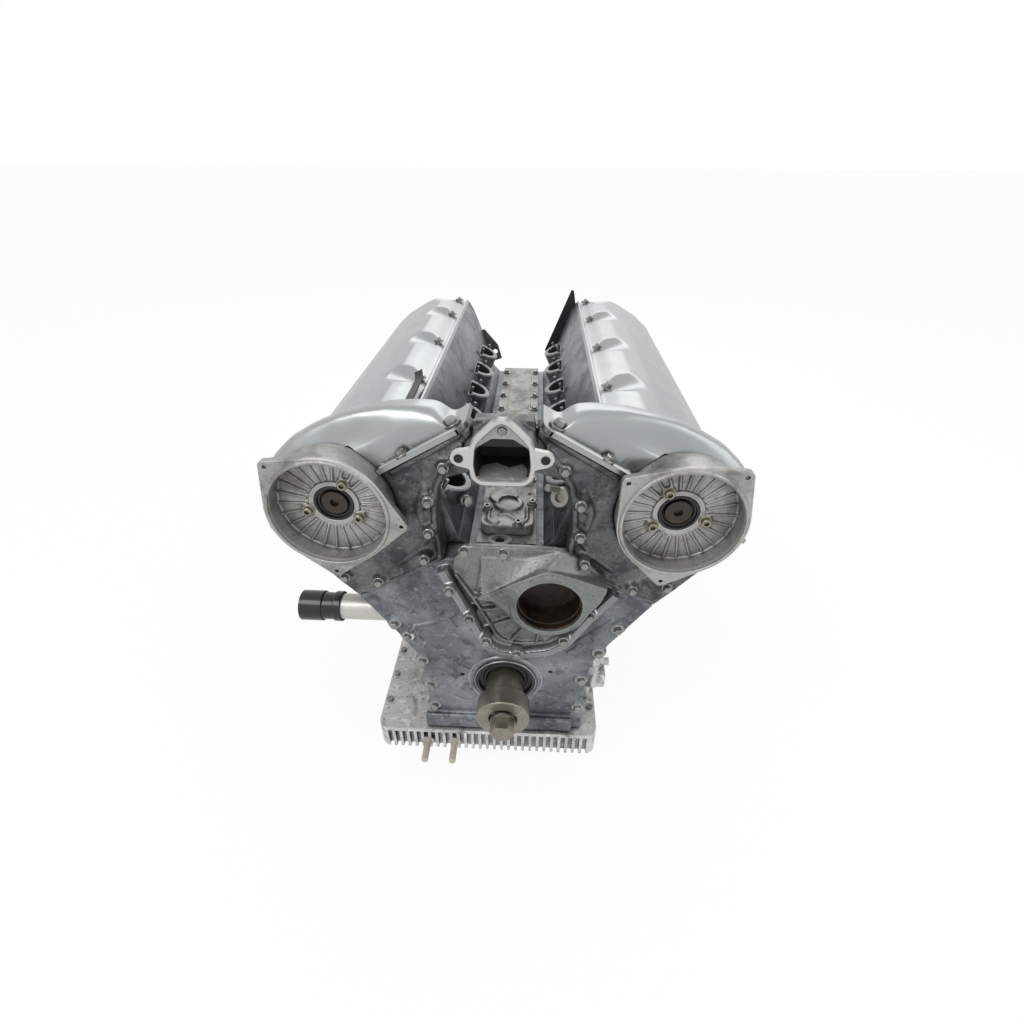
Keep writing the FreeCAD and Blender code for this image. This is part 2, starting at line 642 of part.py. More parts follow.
def valve_axes():
    """Foot, direction and length of each valve's axis, with its row's head radius."""
    axes = []
    deck = val("deck+gasket")
    for side in SIDES.values():
        for row in ("intake", "exhaust"):
            seat, cam = val(f"{row}_seat"), val(f"{row}_cam")
            for index in range(6):
                for spread in (-1, 1):
                    y = bore_station(side, index) + spread * val("valve_spread")
                    foot = bank_axis(side, deck, seat, y)
                    top = bank_axis(side, val("cam_height"), cam, y)
                    span = (top - foot).Length
                    axes.append((foot, (top - foot).normalize(), span, val(f"{row}_valve")))
    return axes


AXES = valve_axes()
TAPPET_TOP = val("lobe_base+lobe_lift") + val("run_gap")
tappet_foot = TAPPET_TOP + val("tappet_height")
spring_length = val("cam_height-spring_foot") - tappet_foot + 3


def along_valves(make):
    return Part.makeCompound([shape for axis in AXES for shape in make(*axis)])


def valve_shape(foot, up, span, radius):
    stem_top = span - TAPPET_TOP - 4
    disc = Part.makeCylinder(radius, 3, foot + up * 4, up)
    neck = Part.makeCone(radius, val("stem_radius"), 12, foot + up * 7, up)
    stem = Part.makeCylinder(val("stem_radius"), stem_top - 7, foot + up * 7, up)
    return [disc.fuse([neck, stem])]


def spring_shape(foot, up, span, radius):
    base = foot + up * (span - tappet_foot - spring_length)
    outer = Part.makeCylinder(val("spring_radius"), spring_length - 1, base, up)
    return [outer.cut(Part.makeCylinder(val("spring_radius-3"), spring_length - 1, base, up))]


def tappet_shape(foot, up, span, radius):
    height = val("tappet_height")
    base = foot + up * (span - tappet_foot)
    cup = Part.makeCylinder(val("tappet_radius"), height, base, up)
    return [cup.cut(Part.makeCylinder(val("tappet_radius-2"), height - 3.5, base, up))]


def valve_bore(foot, up, span, radius):
    """Clearance for one valve: chamber recess, throat, guide and tappet bore."""
    gap = val("fit_gap")
    recess = Part.makeCylinder(radius + 1, 10, foot - up * 2, up)
    throat = Part.makeCone(radius + 1, val("stem_radius+1"), 13, foot + up * 8, up)
    guide = Part.makeCylinder(val("stem_radius") + gap, span, foot, up)
    start = span - tappet_foot - spring_length
    bore = Part.makeCylinder(val("tappet_radius") + gap, span - start, foot + up * start, up)
    return [recess.fuse([throat, guide, bore])]


node("valves", solid("valve_set", along_valves(valve_shape)))
node("valve_springs", solid("spring_set", along_valves(spring_shape)))
node("tappets", solid("tappet_set", along_valves(tappet_shape)))

# Cylinder heads: cam wells between bearing saddles, intake ports on the inner
# face and exhaust ports on the outer one.
DECK_TOP = "deck+gasket"
head_outline = [("bank_half", DECK_TOP), ("head_outer-10", "290"), ("head_outer", "345"),
                ("head_outer", "cover_plane"), ("-head_inner", "cover_plane"),
                ("-head_inner", "345"), ("-head_inner+7", "300"), ("-bank_half-6", "250"),
                ("-bank_half", DECK_TOP)]
well_outline = [("-head_inner+8.5", "well_floor"), ("head_outer-14", "well_floor"),
                ("head_outer-12", "cover_plane+1"), ("-head_inner+8", "cover_plane+1")]


def port_shape(side, index, radius, length, row, start=0.0):
    """Cylinder along a port's axis, start millimetres in from its mouth."""
    y = bore_station(side, index)
    if row == "intake":
        lean = math.radians(val("intake_port_lean"))
        mouth = bank_axis(side, val("intake_port_u"), val("intake_port_v"), y)
        inward = bank_direction(side, -math.sin(lean), math.cos(lean))
    else:
        mouth = bank_axis(side, val("exhaust_port_u"), val("head_outer-6"), y)
        inward = bank_direction(side, 0, -1)
    return Part.makeCylinder(radius, length, mouth + inward * start, inward)


def head(word, side):
    shift = "0" if side > 0 else "bank_stagger"
    raw = prism(f"{word}_head_casting", head_outline, (BLOCK_FRONT, "block_rear"))
    first = f"bore_one-({shift})"
    reach = "(bore_pitch-saddle)/2"
    wells = prism(f"{word}_wells", well_outline, (f"{first}-{reach}", f"{first}+{reach}"),
                  (6, "bore_pitch"))
    lobby = prism(f"{word}_gear_room", well_outline,
                  (BLOCK_FRONT + "-1", f"{first}-bore_pitch/2-saddle/2+1"))
    drills = [rod_y(f"{word}_{row}_line", "cam_journal+fit_gap", (BLOCK_FRONT + "-1", "block_rear-8"),
                    f"{row}_cam", "cam_height") for row in ("intake", "exhaust")]
    gear_space = [rod_y(f"{word}_{row}_gear_space", "(exhaust_cam-intake_cam)/2+3",
                        (BLOCK_FRONT + "-1", BLOCK_FRONT + "+10.5"), f"{row}_cam", "cam_height")
                  for row in ("intake", "exhaust")]
    chain_space = prism(f"{word}_chain_space", [("-55", "cover_plane+1"), ("-55", "290"), ("-38", DECK_TOP + "-1"),
                                                ("66", DECK_TOP + "-1"), ("84", "290"), ("84", "cover_plane+1")],
                        (BLOCK_FRONT + "-1", BLOCK_FRONT + "+1.2"))
    bosses = [port_shape(1, i, val("intake_flange"), 24, "intake") for i in range(6)]
    bosses += [port_shape(1, i, val("exhaust_port_radius+7"), 30, "exhaust") for i in range(6)]
    holes = [port_shape(1, i, val("intake_port_radius"), val("port_depth"), "intake", -1) for i in range(6)]
    holes += [port_shape(1, i, val("exhaust_port_radius"), val("exhaust_port_depth"), "exhaust", -1)
              for i in range(6)]
    offset = 0 if side > 0 else -val("bank_stagger")
    boss_set = solid(f"{word}_port_bosses", Part.makeCompound(bosses))
    hole_set = solid(f"{word}_port_holes", Part.makeCompound(holes))
    bores = [valve_bore(*axis)[0] for axis in AXES if axis[0].x * side > 0]
    bore_set = solid(f"{word}_valve_bores", Part.makeCompound(bores))
    for obj in (boss_set, hole_set):
        obj.Placement.Base.y = offset
    tilted = cut(f"{word}_head_wells", raw, [wells, lobby] + drills + gear_space + [chain_space])
    place(tilted, tilt="bank_tilt")
    if side > 0:
        upper = fuse(f"{word}_head_blank", [tilted, boss_set])
        return cut(f"{word}_head", upper, [hole_set, bore_set])
    upper = fuse(f"{word}_head_blank", [tilted, boss_set])
    ported = cut(f"{word}_head_ported", upper, hole_set)
    return cut(f"{word}_head", mirror(f"{word}_head_mirror", ported), bore_set)


for word, side in SIDES.items():
    node(f"{word}_cylinder_head", head(word, side))

gaskets = []
for word, side in SIDES.items():
    sheet_half = prism(f"{word}_gasket_sheet", [("bank_half", "deck"), ("bank_half", DECK_TOP),
                                                ("-bank_half", DECK_TOP), ("-bank_half", "deck")],
                       (BLOCK_FRONT, "block_rear"))
    place(sheet_half, y="block_rear", tilt="bank_tilt")
    gaskets.append(sheet_half if side > 0 else mirror("left_gasket_mirror", sheet_half))
gasket_bores = bank_cylinders("gasket_bores", val("bore/2+1"), val("deck-1"), val("deck+gasket+1"))
node("head_gaskets", cut("gasket_pair", fuse("gasket_blank", gaskets), gasket_bores))

# Cam bearing caps over the saddles.
CAP_SEAT = val("cover_plane-cam_height")
caps_made = []
for side in SIDES.values():
    for row in ("intake", "exhaust"):
        for index in range(5):
            y = bore_station(side, index) + val("bore_pitch/2")
            width, depth = val("cam_cap_half"), val("saddle-1")
            centre = bank_axis(side, val("cam_height"), val(f"{row}_cam"), y)
            foot = Part.makeBox(2 * width, depth, val("cam_cap_foot"), V(-width, -depth / 2, CAP_SEAT))
            above = Part.makeBox(2 * width, depth, width + 9, V(-width, -depth / 2, CAP_SEAT))
            crest = Part.makeCylinder(width + 3, depth, V(0, -depth / 2, 0), ACROSS).common(above)
            cap = foot.fuse(crest).cut(Part.makeCylinder(val("cam_journal+0.3"), 60, V(0, -30, 0), ACROSS))
            cap.Placement = FreeCAD.Placement(centre, FreeCAD.Rotation(ACROSS, side * val("bank_tilt")))
            caps_made.append(cap)
node("cam_bearing_caps", solid("cam_caps", Part.makeCompound(caps_made)))

# Cam covers: a long crowned shell, with a wider hump over the chain housing.
crown = [("-head_inner", "cover_plane"), ("-head_inner", "cover_plane+lip_height"), ("-77", "367"), ("-68", "386"),
         ("-50", "399"), ("-20", "404"), ("25", "404"), ("62", "397"), ("84", "382"),
         ("92", "367"), ("head_outer", "cover_plane+lip_height"), ("head_outer", "cover_plane")]
hollow = [("-72", "cover_plane-1"), ("-64", "383"), ("-47.5", "395"), ("-20", "400"),
          ("24.5", "400"), ("59.5", "393.5"), ("80", "380"), ("87", "cover_plane-1")]
hump_high = [("-162", "hump_plane"), ("-162", "hump_plane+7"), ("-142", "376"), ("-90", "407"),
             ("-34", "425"), ("27", "428"), ("75", "415"), ("98", "385"), ("104", "hump_plane")]
hump_low = [("-162", "hump_plane"), ("-162", "hump_plane+6"), ("-142", "hump_plane+7"),
            ("-90", "hump_plane+8"), ("-34", "hump_plane+20"), ("27", "hump_plane+24"),
            ("75", "hump_plane+20"), ("96", "hump_plane+10"), ("100", "hump_plane")]
hump_room = [("-88", "hump_plane-1"), ("-80", "395"), ("-34", "417"), ("27", "421"), ("72", "408"),
             ("91", "382"), ("96", "hump_plane-1")]


def cam_cover(word):
    shell = prism(f"{word}_crown", crown, ("hump_ridge", "cover_rear"))
    room = prism(f"{word}_crown_room", hollow, ("hump_ridge-1", "cover_rear-cover_wall"))
    ridge = prism(f"{word}_ridge", hump_high, ("hump_ridge-8", "hump_rear"))
    slope = doc.addObject("Part::Loft", f"{word}_slope")
    slope.Sections = [station(f"{word}_slope_foot", hump_low, "hump_front+1"),
                      station(f"{word}_slope_top", hump_high, "hump_ridge-7")]
    slope.Solid = True
    slope.Ruled = True
    brow = prism(f"{word}_brow", hump_low, ("hump_front", "hump_front+1.5"))
    under = prism(f"{word}_hump_room", hump_room, ("cover_face+cover_depth-14", "hump_rear-cover_wall"))
    nest = rod_y(f"{word}_dish_nest", "dish_radius+1", ("hump_front-5", "dish_back+1"), "exhaust_cam", "cam_height")
    seat = prism(f"{word}_head_seat", [("-head_inner", "hump_plane-2"), ("-head_inner", "cover_plane"),
                                       ("head_outer+9", "cover_plane"), ("head_outer+9", "hump_plane-2")],
                 (BLOCK_FRONT, "hump_rear+1"))
    shaft_way = rod_y(f"{word}_cover_shaft_way", "dish_bore-6", ("hump_front", "cover_face+cover_depth-13"),
                      "exhaust_cam", "cam_height")
    blank = fuse(f"{word}_cover_blank", [shell, ridge, slope, brow])
    return cut(f"{word}_cover", blank, [room, under, nest, seat, shaft_way])


right_cover = place(cam_cover("right"), tilt="bank_tilt")
left_cover = place(cam_cover("left"), tilt="bank_tilt")
COVER_BOLTS = {
    "right": [(-74, 373, val("cover_bolt_rear") - k * val("cover_bolt_pitch")) for k in range(3)]
    + [(-74, 373, -40)],
    "left": [(-74, 373, val("cover_bolt_rear") + 16 - k * val("cover_bolt_pitch")) for k in range(3)]
    + [(-74, 373, -40)],
}
HUMP_BOLTS = [(-146, -646), (-84, -655)]


def scallop(side, v, u, y):
    """Round recess that seats a cover bolt on the inner slope."""
    top = bank_axis(side, u, v, y)
    return Part.makeCylinder(9.5, 60, top, bank_direction(side, 1, 0))


cover_bolts = []
for word, side, cover in (("right", 1, right_cover), ("left", -1, mirror("left_cover_mirror", left_cover))):
    up = bank_direction(side, 1, 0)
    recesses = [scallop(side, v, u, y) for v, u, y in COVER_BOLTS[word]]
    recesses += [scallop(side, v, val("hump_plane") + 8, y) for v, y in HUMP_BOLTS]
    seats = [(bank_axis(side, u, v, y), up) for v, u, y in COVER_BOLTS[word]]
    hump_seats = [(bank_axis(side, val("hump_plane") + 8, v, y), up) for v, y in HUMP_BOLTS]
    bosses = [Part.makeCylinder(8, 8, seat - up * 8, up) for seat, _ in hump_seats]
    towers = [Part.makeCylinder(7, val("lip_height") + 6.4, bank_axis(side, val("cover_plane"), v, y), up)
              for v, u, y in COVER_BOLTS[word]]
    towers = solid(f"{word}_bolt_towers", Part.makeCompound(towers + bosses))
    holes = bolt_holes(f"{word}_cover_holes", seats + hump_seats, 22)
    notch = solid(f"{word}_scallops", Part.makeCompound(recesses))
    notched = cut(f"{word}_cover_notched", cover, notch)
    sweep = solid(f"{word}_lobe_sweep", Part.makeCylinder(
        val("lobe_base+lobe_lift+2*run_gap"), val("cover_rear-cover_wall-hump_rear"),
        bank_axis(side, val("cam_height"), val("intake_cam"), val("hump_rear")), ACROSS))
    finished = cut(f"{word}_cover_finished", fuse(f"{word}_cover_bossed", [notched, towers]), [holes, sweep])
    node(f"{word}_cam_cover", finished)
    for centre, direction in seats + hump_seats:
        cover_bolts.append(small_bolt(centre, direction))
node("cam_cover_bolts", solid("cover_bolt_set", Part.makeCompound(cover_bolts)))

# Chain housings: the heads' front covers, with a round recess for the distributor.
housing_outline = [("-47", "deck"), ("82", "deck"), ("88", "256"), ("94", "300"),
                   ("97", "hump_plane"), ("-162", "hump_plane"), ("-162", "346"),
                   ("-132", "335"), ("-100", "317"), ("-73", "280"), ("-54", "240")]
housing_room = [("-41", "deck-1"), ("75", "deck-1"), ("81", "258"), ("88", "302"),
                ("90", "hump_plane+1"), ("-92", "hump_plane+1"), ("-92", "322"), ("-67", "284"),
                ("-48", "242")]


def chain_housing(word):
    raw = prism(f"{word}_housing_casting", housing_outline, (FRONT, BLOCK_FRONT))
    room = prism(f"{word}_housing_room", housing_room, (FRONT + "+housing_wall", BLOCK_FRONT + "+1"))
    boss = rod_y(f"{word}_recess_boss", "dish_radius+5", (FRONT + "+1", "recess_back+recess_web"),
                 "exhaust_cam", "cam_height")
    space = cut(f"{word}_housing_space", room, boss)
    recess = rod_y(f"{word}_recess", "dish_radius+0.5", (FRONT + "-1", "recess_back"),
                   "exhaust_cam", "cam_height")
    shaft_way = rod_y(f"{word}_shaft_way", "dish_bore-6", (FRONT, BLOCK_FRONT), "exhaust_cam", "cam_height")
    return place(cut(f"{word}_housing", raw, [space, recess, shaft_way]), tilt="bank_tilt")


node("right_chain_housing", chain_housing("right"))
node("left_chain_housing", mirror("left_housing_mirror", chain_housing("left")))

# Distributor housings: an open dish with radial ribs on its floor and cap lugs.
LUG_ANGLES = {"right": (48, 142, 262), "left": (134, -10, -93)}
SCREW_ANGLES = {"right": (119, 210, 345), "left": (61, -30, 195)}


def dish_point(word, angle, radius, y):
    centre = bank_axis(SIDES[word], val("cam_height"), val("exhaust_cam"), y)
    a = math.radians(angle)
    return centre + V(radius * math.cos(a), 0, radius * math.sin(a))


def dish_lug():
    """Ear whose sides run tangent to the dish's rim, lying along +X."""
    big, small, reach, depth = (val(k) for k in ("dish_radius", "lug_radius", "lug_reach", "lug_depth"))
    lean = math.acos((big - small) / reach)
    flank = [(big * math.cos(lean), big * math.sin(lean)),
             (reach + small * math.cos(lean), small * math.sin(lean))]
    outline = [V(x, 0, z) for x, z in flank] + [V(x, 0, -z) for x, z in reversed(flank)]
    web = Part.Face(Part.makePolygon(outline + [outline[0]])).extrude(V(0, depth, 0))
    return web.fuse(Part.makeCylinder(small, depth, V(reach, 0, 0), ACROSS))


def distributor_housing(word):
    side = SIDES[word]
    centre = bank_axis(side, val("cam_height"), val("exhaust_cam"), 0)

    def drum(radius, front, back):
        return Part.makeCylinder(radius, back - front, centre + V(0, front, 0), ACROSS)

    rim, back, floor = val("dish_rim"), val("dish_back"), val("dish_floor")
    dish = drum(val("dish_radius"), rim, back)
    dish = dish.cut(drum(val("dish_radius-dish_wall"), rim - 1, floor))
    dish = dish.cut(drum(val("dish_radius-dish_wall-3"), floor + val("dish_web"), back + 1))
    step = drum(val("dish_radius-dish_wall+1"), rim, floor - 8).cut(drum(val("dish_radius-dish_wall-4"), rim - 1, floor))
    step = step.common(drum(val("dish_radius-1"), floor - 10, floor))
    dish = dish.fuse(step)
    ribs = []
    inner, outer = val("dish_bore+8"), val("dish_radius-dish_wall-2")
    for k in range(int(val("dish_rib_count"))):
        rib = Part.makeBox(outer - inner, 6, val("dish_rib"), V(inner, -3, -val("dish_rib/2")))
        rib.rotate(V(0, 0, 0), ACROSS, 360 / val("dish_rib_count") * k)
        rib.translate(centre + V(0, floor, 0))
        ribs.append(rib)
    lugs = []
    for angle in LUG_ANGLES[word]:
        lug = dish_lug()
        lug.rotate(V(0, 0, 0), ACROSS, -angle)
        lug.translate(centre + V(0, rim, 0))
        lugs.append(lug)
    dish = dish.fuse(ribs + lugs)
    dish = dish.cut(drum(val("dish_radius-dish_wall"), rim - 1, floor - 8))
    dish = dish.cut(drum(val("dish_bore"), floor - 5, back + 1))
    for angle in SCREW_ANGLES[word]:
        at = dish_point(word, angle, val("dish_screw"), floor - 4)
        pad = Part.makeCylinder(7.5, 4 + val("dish_web"), at, ACROSS)
        dish = dish.fuse(pad).cut(Part.makeCylinder(val("small_bolt+fit_gap"), 20, at, ACROSS))
    for angle in LUG_ANGLES[word]:
        at = dish_point(word, angle, val("lug_reach"), rim - 1)
        dish = dish.cut(Part.makeCylinder(2.2, 12, at, ACROSS))
    return dish


dish_screws = []
for word in SIDES:
    dish_shape = distributor_housing(word)
    node(f"{word}_distributor_housing", solid(f"{word}_dish", dish_shape))
    for angle in SCREW_ANGLES[word]:
        at = dish_point(word, angle, val("dish_screw"), val("dish_floor") - 4)
        screw = Part.makeCylinder(5.5, 4, at, FORWARD).fuse(
            Part.makeCylinder(val("small_bolt"), val("dish_web+3"), at, ACROSS))
        dish_screws.append(screw)
node("distributor_screws", solid("dish_screw_set", Part.makeCompound(dish_screws)))

# Timing cover: a flat plate with a closed rim, sealed against the block's front.
cover_half = [("skirt_half", "pan_plane"), ("skirt_half", "0"), ("skirt_half+6", "44"),
              ("136", "79"), ("153", "106"), on_bank("deck", "82"), on_bank("deck", "-47")]
room_half = [("skirt_half-8", "pan_plane+7"), ("skirt_half-8", "0"), ("skirt_half-2", "47"),
             ("128", "83"), ("147", "112"), on_bank("deck+1", "75"), on_bank("deck+1", "-41"),
             ("36", "150")]
cover_raw = prism("timing_casting", mirrored(cover_half), (FRONT, BLOCK_FRONT))
cover_room = prism("timing_room", mirrored(room_half), (FRONT + "+front_wall", BLOCK_FRONT + "+1"))
ledge = box("timing_ledge", ("-skirt_half-6", "skirt_half-14"), (FRONT + "-ledge_reach", FRONT + "+1"),
            ("pan_plane+2", "pan_plane+2+ledge_height"))
pump_socket = rod_y("pump_socket", "pump_bore+5", (FRONT + "+1", FRONT + "+pump_depth+5"), "pump_x", "pump_z")
pump_way = rod_y("pump_way", "pump_bore", (FRONT + "-1", FRONT + "+pump_depth"), "pump_x", "pump_z")
seal_way = rod_y("seal_way", "seal_radius+fit_gap", (FRONT + "-20", BLOCK_FRONT + "+1"))
opened = cut("timing_open", cover_raw, cover_room)
timing = cut("timing", fuse("timing_blank", [opened, ledge, pump_socket]), [pump_way, seal_way])

COVER_EDGE = [(-128, 86), (-113, 38), (-105, -12), (-103, -58), (-143, 108), (144, 112), (124, 66),
              (105, 10), (104, -50), (-60, 8), (-52, -34), (60, -40), (62, 20)]
PUMP_SEATS = [(-64, 178), (-47, 130), (-28, 90), (16, 62), (-46, 236), (-1, 234), (110, 138), (88, 105)]
cover_seats = [(V(x, val(FRONT), z), FORWARD) for x, z in COVER_EDGE]
pump_seats = [(V(x, val(FRONT) - val("pump_flange"), z), FORWARD) for x, z in PUMP_SEATS]
drill_depth = val("front_wall+pump_flange+2")
timing_done = cut("timing_drilled", timing,
                  [bolt_holes("timing_holes", cover_seats, drill_depth),
                   bolt_holes("timing_pump_holes", pump_seats, drill_depth)])
node("timing_cover", timing_done)

# Coolant pump housing: flange plate, raised wedge casting and open bore.
pump_plate = prism("pump_plate", [("-74", "182"), ("-58", "126"), ("-38", "82"), ("14", "50"), ("62", "62"),
                                  ("98", "92"), ("116", "136"), ("124", "196"), ("64", "244"), ("-52", "244")],
                   (FRONT + "-pump_flange", FRONT))
pump_wedge = prism("pump_wedge", [("-31", "172"), ("-11", "112"), ("40", "104"), ("96", "124"), ("121", "194"),
                                  ("67", "241"), ("22", "241"), ("12", "222"), ("-14", "222"),
                                  ("-25", "237"), ("-38", "235")],
                   ("pump_step", FRONT + "-pump_flange+1"))
pump_ring = rod_y("pump_ring", "pump_boss", ("pump_front", FRONT + "-pump_flange+1"), "pump_x", "pump_z")
pump_bore = rod_y("pump_bore_cut", "pump_bore", ("pump_front-1", FRONT + "+1"), "pump_x", "pump_z")
pump = cut("pump", fuse("pump_blank", [pump_plate, pump_wedge, pump_ring]), pump_bore)
pump_done = cut("pump_drilled", pump, bolt_holes("pump_holes", pump_seats, 9))
node("water_pump_housing", pump_done)
front_bolts = [small_bolt(centre, direction) for centre, direction in cover_seats]
front_bolts += [hex_bolt(centre, direction, val("small_bolt"), val("small_head"), val("head_height"),
                         val("pump_flange+front_wall")) for centre, direction in pump_seats]
node("front_cover_bolts", solid("front_bolt_set", Part.makeCompound(front_bolts)))

# Coolant outlet: house-shaped flange, ears and a crossover to both chain housings.
house = [("6", "416"), ("30", "392"), ("34", "374"), ("30", "343")]
mouth = [("4", "410"), ("25", "389"), ("28.5", "374"), ("26", "349")]
body_half = [("14", "397"), ("30", "386"), ("34", "374"), ("30", "343")]
room_half = [("10", "392"), ("25", "382"), ("28.5", "372"), ("26", "349")]
outlet_rim = prism("outlet_rim", mirrored(house), ("outlet_front", "outlet_front+outlet_flange+2"))
outlet_body = prism("outlet_body", mirrored(body_half), ("outlet_front+outlet_flange", FRONT + "+6"))
outlet_mouth = prism("outlet_mouth", mirrored(mouth), ("outlet_front-1", "outlet_front+outlet_flange-1"))
outlet_cut = prism("outlet_room", mirrored(room_half), ("outlet_front-1", "outlet_back-5"))
crossover = prism("crossover", mirrored([("30", "396"), on_bank("346", "-162"), on_bank("335", "-132"),
                                         on_bank("317", "-100"), ("34", "337")]), (FRONT + "+2", "outlet_back"))
ears = prism("outlet_ears", mirrored([("outlet_ear-4", "outlet_ear_z+8"), ("outlet_ear+5", "outlet_ear_z+6"),
                                      ("outlet_ear+5", "outlet_ear_z-6"), ("outlet_ear-4", "outlet_ear_z-8")]),
             ("outlet_front", "outlet_front+outlet_flange"))
ear_holes = [rod_y(f"ear_hole_{word}", "outlet_hole", ("outlet_front-1", "outlet_front+outlet_flange+1"),
                   f"{sign}outlet_ear", "outlet_ear_z") for word, sign in (("right", ""), ("left", "-"))]
housings = fuse("housing_pair", [parts["right_chain_housing"], parts["left_chain_housing"]])
covers = fuse("cover_pair", [parts["right_cam_cover"], parts["left_cam_cover"]])
outlet_raw = cut("outlet_raw", fuse("outlet_blank", [outlet_rim, outlet_body, crossover, ears]),
                 [outlet_mouth, outlet_cut] + ear_holes)
node("coolant_outlet", cut("outlet_fitted", cut("outlet_seated", outlet_raw, housings), covers))

# Valley: cover plate, breather case at its front and their bolts.
plate = box("valley_plate", ("-valley_plate_half", "valley_plate_half"), ("valley_plate_front", "block_rear"),
            ("valley_floor", "valley_top"))
eye = rod_z("eye_slot", "eye_hole", ("valley_floor-1", "valley_top+1"), "-8", "valley_plate_front+13")
valley_clear = box("valley_clear", ("-70", "70"), ("valley_plate_front-1", BLOCK_FRONT), ("valley_floor-20", "valley_top+1"))
node("valley_cover", cut("valley_plate_cut", plate, [eye, valley_clear]))
case = box("case_box", ("-case_half", "case_half"), ("case_front", "case_front+case_length"),
           ("valley_top", "valley_top+case_height"))
case_round = doc.addObject("Part::Fillet", "case_round")
case.recompute()
case_round.Base = case
upright = [i + 1 for i, e in enumerate(case.Shape.Edges)
           if abs(e.tangentAt(e.FirstParameter).z) > 0.9]
case_round.Edges = [(i, 12, 12) for i in upright]
case_boss = rod_z("case_boss", "18", ("valley_top+2", "valley_top+case_height+6"), "-7", "case_front+61")
node("valley_front_cover", fuse("case_set", [case_round, case_boss]))
valley_bolts = []
for k in range(8):
    for side in (-1, 1):
        at = V(side * (val("valley_plate_half") - 6), val("block_rear") - 30 - 62 * k, val("valley_top"))
        valley_bolts.append(hex_bolt(at, V(0, 0, 1), 2.5, 4.5, 4, 1))
for x, y in ((-27, 12), (28, 74), (15, 14)):
    at = V(x, val("case_front") + y, val("valley_top+case_height"))
    valley_bolts.append(hex_bolt(at, V(0, 0, 1), 3, 5, 4, 1))
bolt_dimples = solid("valley_dimples", Part.makeCompound(
    [Part.makeCylinder(val("small_bolt+fit_gap"), 3, b.BoundBox.Center - V(0, 0, b.BoundBox.ZLength / 2 + 1))
     for b in valley_bolts]))
for name in ("valley_cover", "valley_front_cover"):
    whole = parts[name]
    whole.Label = name + "_whole"
    node(name, cut(name + "_drilled", whole, bolt_dimples))
node("valley_bolts", solid("valley_bolt_set", Part.makeCompound(valley_bolts)))

# Oil pan: wide shallow tray with a finned front wall and a deeper sump.
tray = box("pan_tray", ("pan_left", "pan_right"), ("pan_front", "block_rear"),
           ("pan_plane-pan_depth", "pan_plane"))
sump = box("pan_sump", ("sump_left", "sump_right"), ("sump_front", "sump_rear"),
           ("sump_bottom", "pan_plane-pan_depth+2"))
tray_room = box("tray_room", ("-crank_room", "crank_room"), (BLOCK_FRONT, "block_rear-8"),
                ("pan_plane-pan_depth+pan_wall", "pan_plane+1"))
side_room = box("side_room", ("pan_left+8", "-crank_room+1"), (BLOCK_FRONT, "block_rear-8"),
                ("pan_plane-pan_depth+pan_wall", "pan_plane-8"))
sump_room = box("sump_room", ("sump_left+pan_wall", "sump_right-pan_wall"),
                ("sump_front+pan_wall", "sump_rear-pan_wall"), ("sump_bottom+pan_wall", "pan_plane-pan_depth+10"))
fin_step = "(pan_right-pan_left-24)/fin_count"
fin_gap = "pan_left+12+(pan_right-pan_left-24)/fin_count"
slot = prism("fin_slots", [("pan_left+14", "pan_plane-7"), (f"pan_left+14+{fin_step}*0.6", "pan_plane-7"),
                           (f"pan_left+14+{fin_step}*0.6", "pan_plane-pan_depth-1"),
                           ("pan_left+14", "pan_plane-pan_depth-1")],
             ("pan_front-1", "pan_front+fin_depth"))
fins = doc.addObject("PartDesign::LinearPattern", "fin_row")
slot.addObject(fins)
fins.Originals = [slot.Tip]
fins.Direction = (origin_feature(slot, "X_Axis"), [""])
bind(fins, Occurrences="fin_count", Length=f"{fin_step}*(fin_count-1)")
slot.Tip = fins
pan_rounded = doc.addObject("Part::Fillet", "pan_rounded")
tray.recompute()
pan_rounded.Base = tray
corners = [i + 1 for i, e in enumerate(tray.Shape.Edges)
           if abs(e.tangentAt(e.FirstParameter).z) > 0.9 and e.BoundBox.YMin < val("pan_front") + 1]
pan_rounded.Edges = [(i, 16, 16) for i in corners]
pan_pins = [rod_y(f"pan_pin_{k}", "pan_pin_radius", ("pan_front-pan_pin_length", "pan_front+6"), x, "pan_plane-29")
            for k, x in enumerate(("-118", "-77"))]
pin_ways = [rod_y(f"pan_pin_way_{k}", "pan_pin_radius+fit_gap", ("pan_front-1", "pan_front+fin_depth+4"), x,
                  "pan_plane-29") for k, x in enumerate(("-118", "-77"))]
pan_raw = cut("pan_raw", fuse("pan_blank", [pan_rounded, sump]), [tray_room, side_room, sump_room, slot])
pin_boss = [rod_y(f"pan_pin_boss_{k}", "pan_pin_radius+4", ("pan_front", "pan_front+fin_depth+4"), x, "pan_plane-29")
            for k, x in enumerate(("-118", "-77"))]
pan_bossed = fuse("pan_bossed", [pan_raw] + pin_boss)
pan_seats = [V(x, val("pan_front") + 50 + k * val("pan_bolt_pitch"), val("pan_plane"))
             for x in (val("pan_left") + 8, val("pan_right") - 8) for k in range(12)]
pan_drill = solid("pan_drill", Part.makeCompound(
    [Part.makeCylinder(val("small_bolt+fit_gap"), 7, seat - V(0, 0, 7)) for seat in pan_seats]))
node("oil_pan", cut("pan_done", pan_bossed, [pan_drill] + pin_ways))
node("oil_pan_pins", fuse("pan_pin_pair", pan_pins))
node("oil_pan_bolts", solid("pan_bolt_set", Part.makeCompound(
    [hex_bolt(seat, V(0, 0, 1), val("small_bolt"), 5, 4, 6) for seat in pan_seats])))

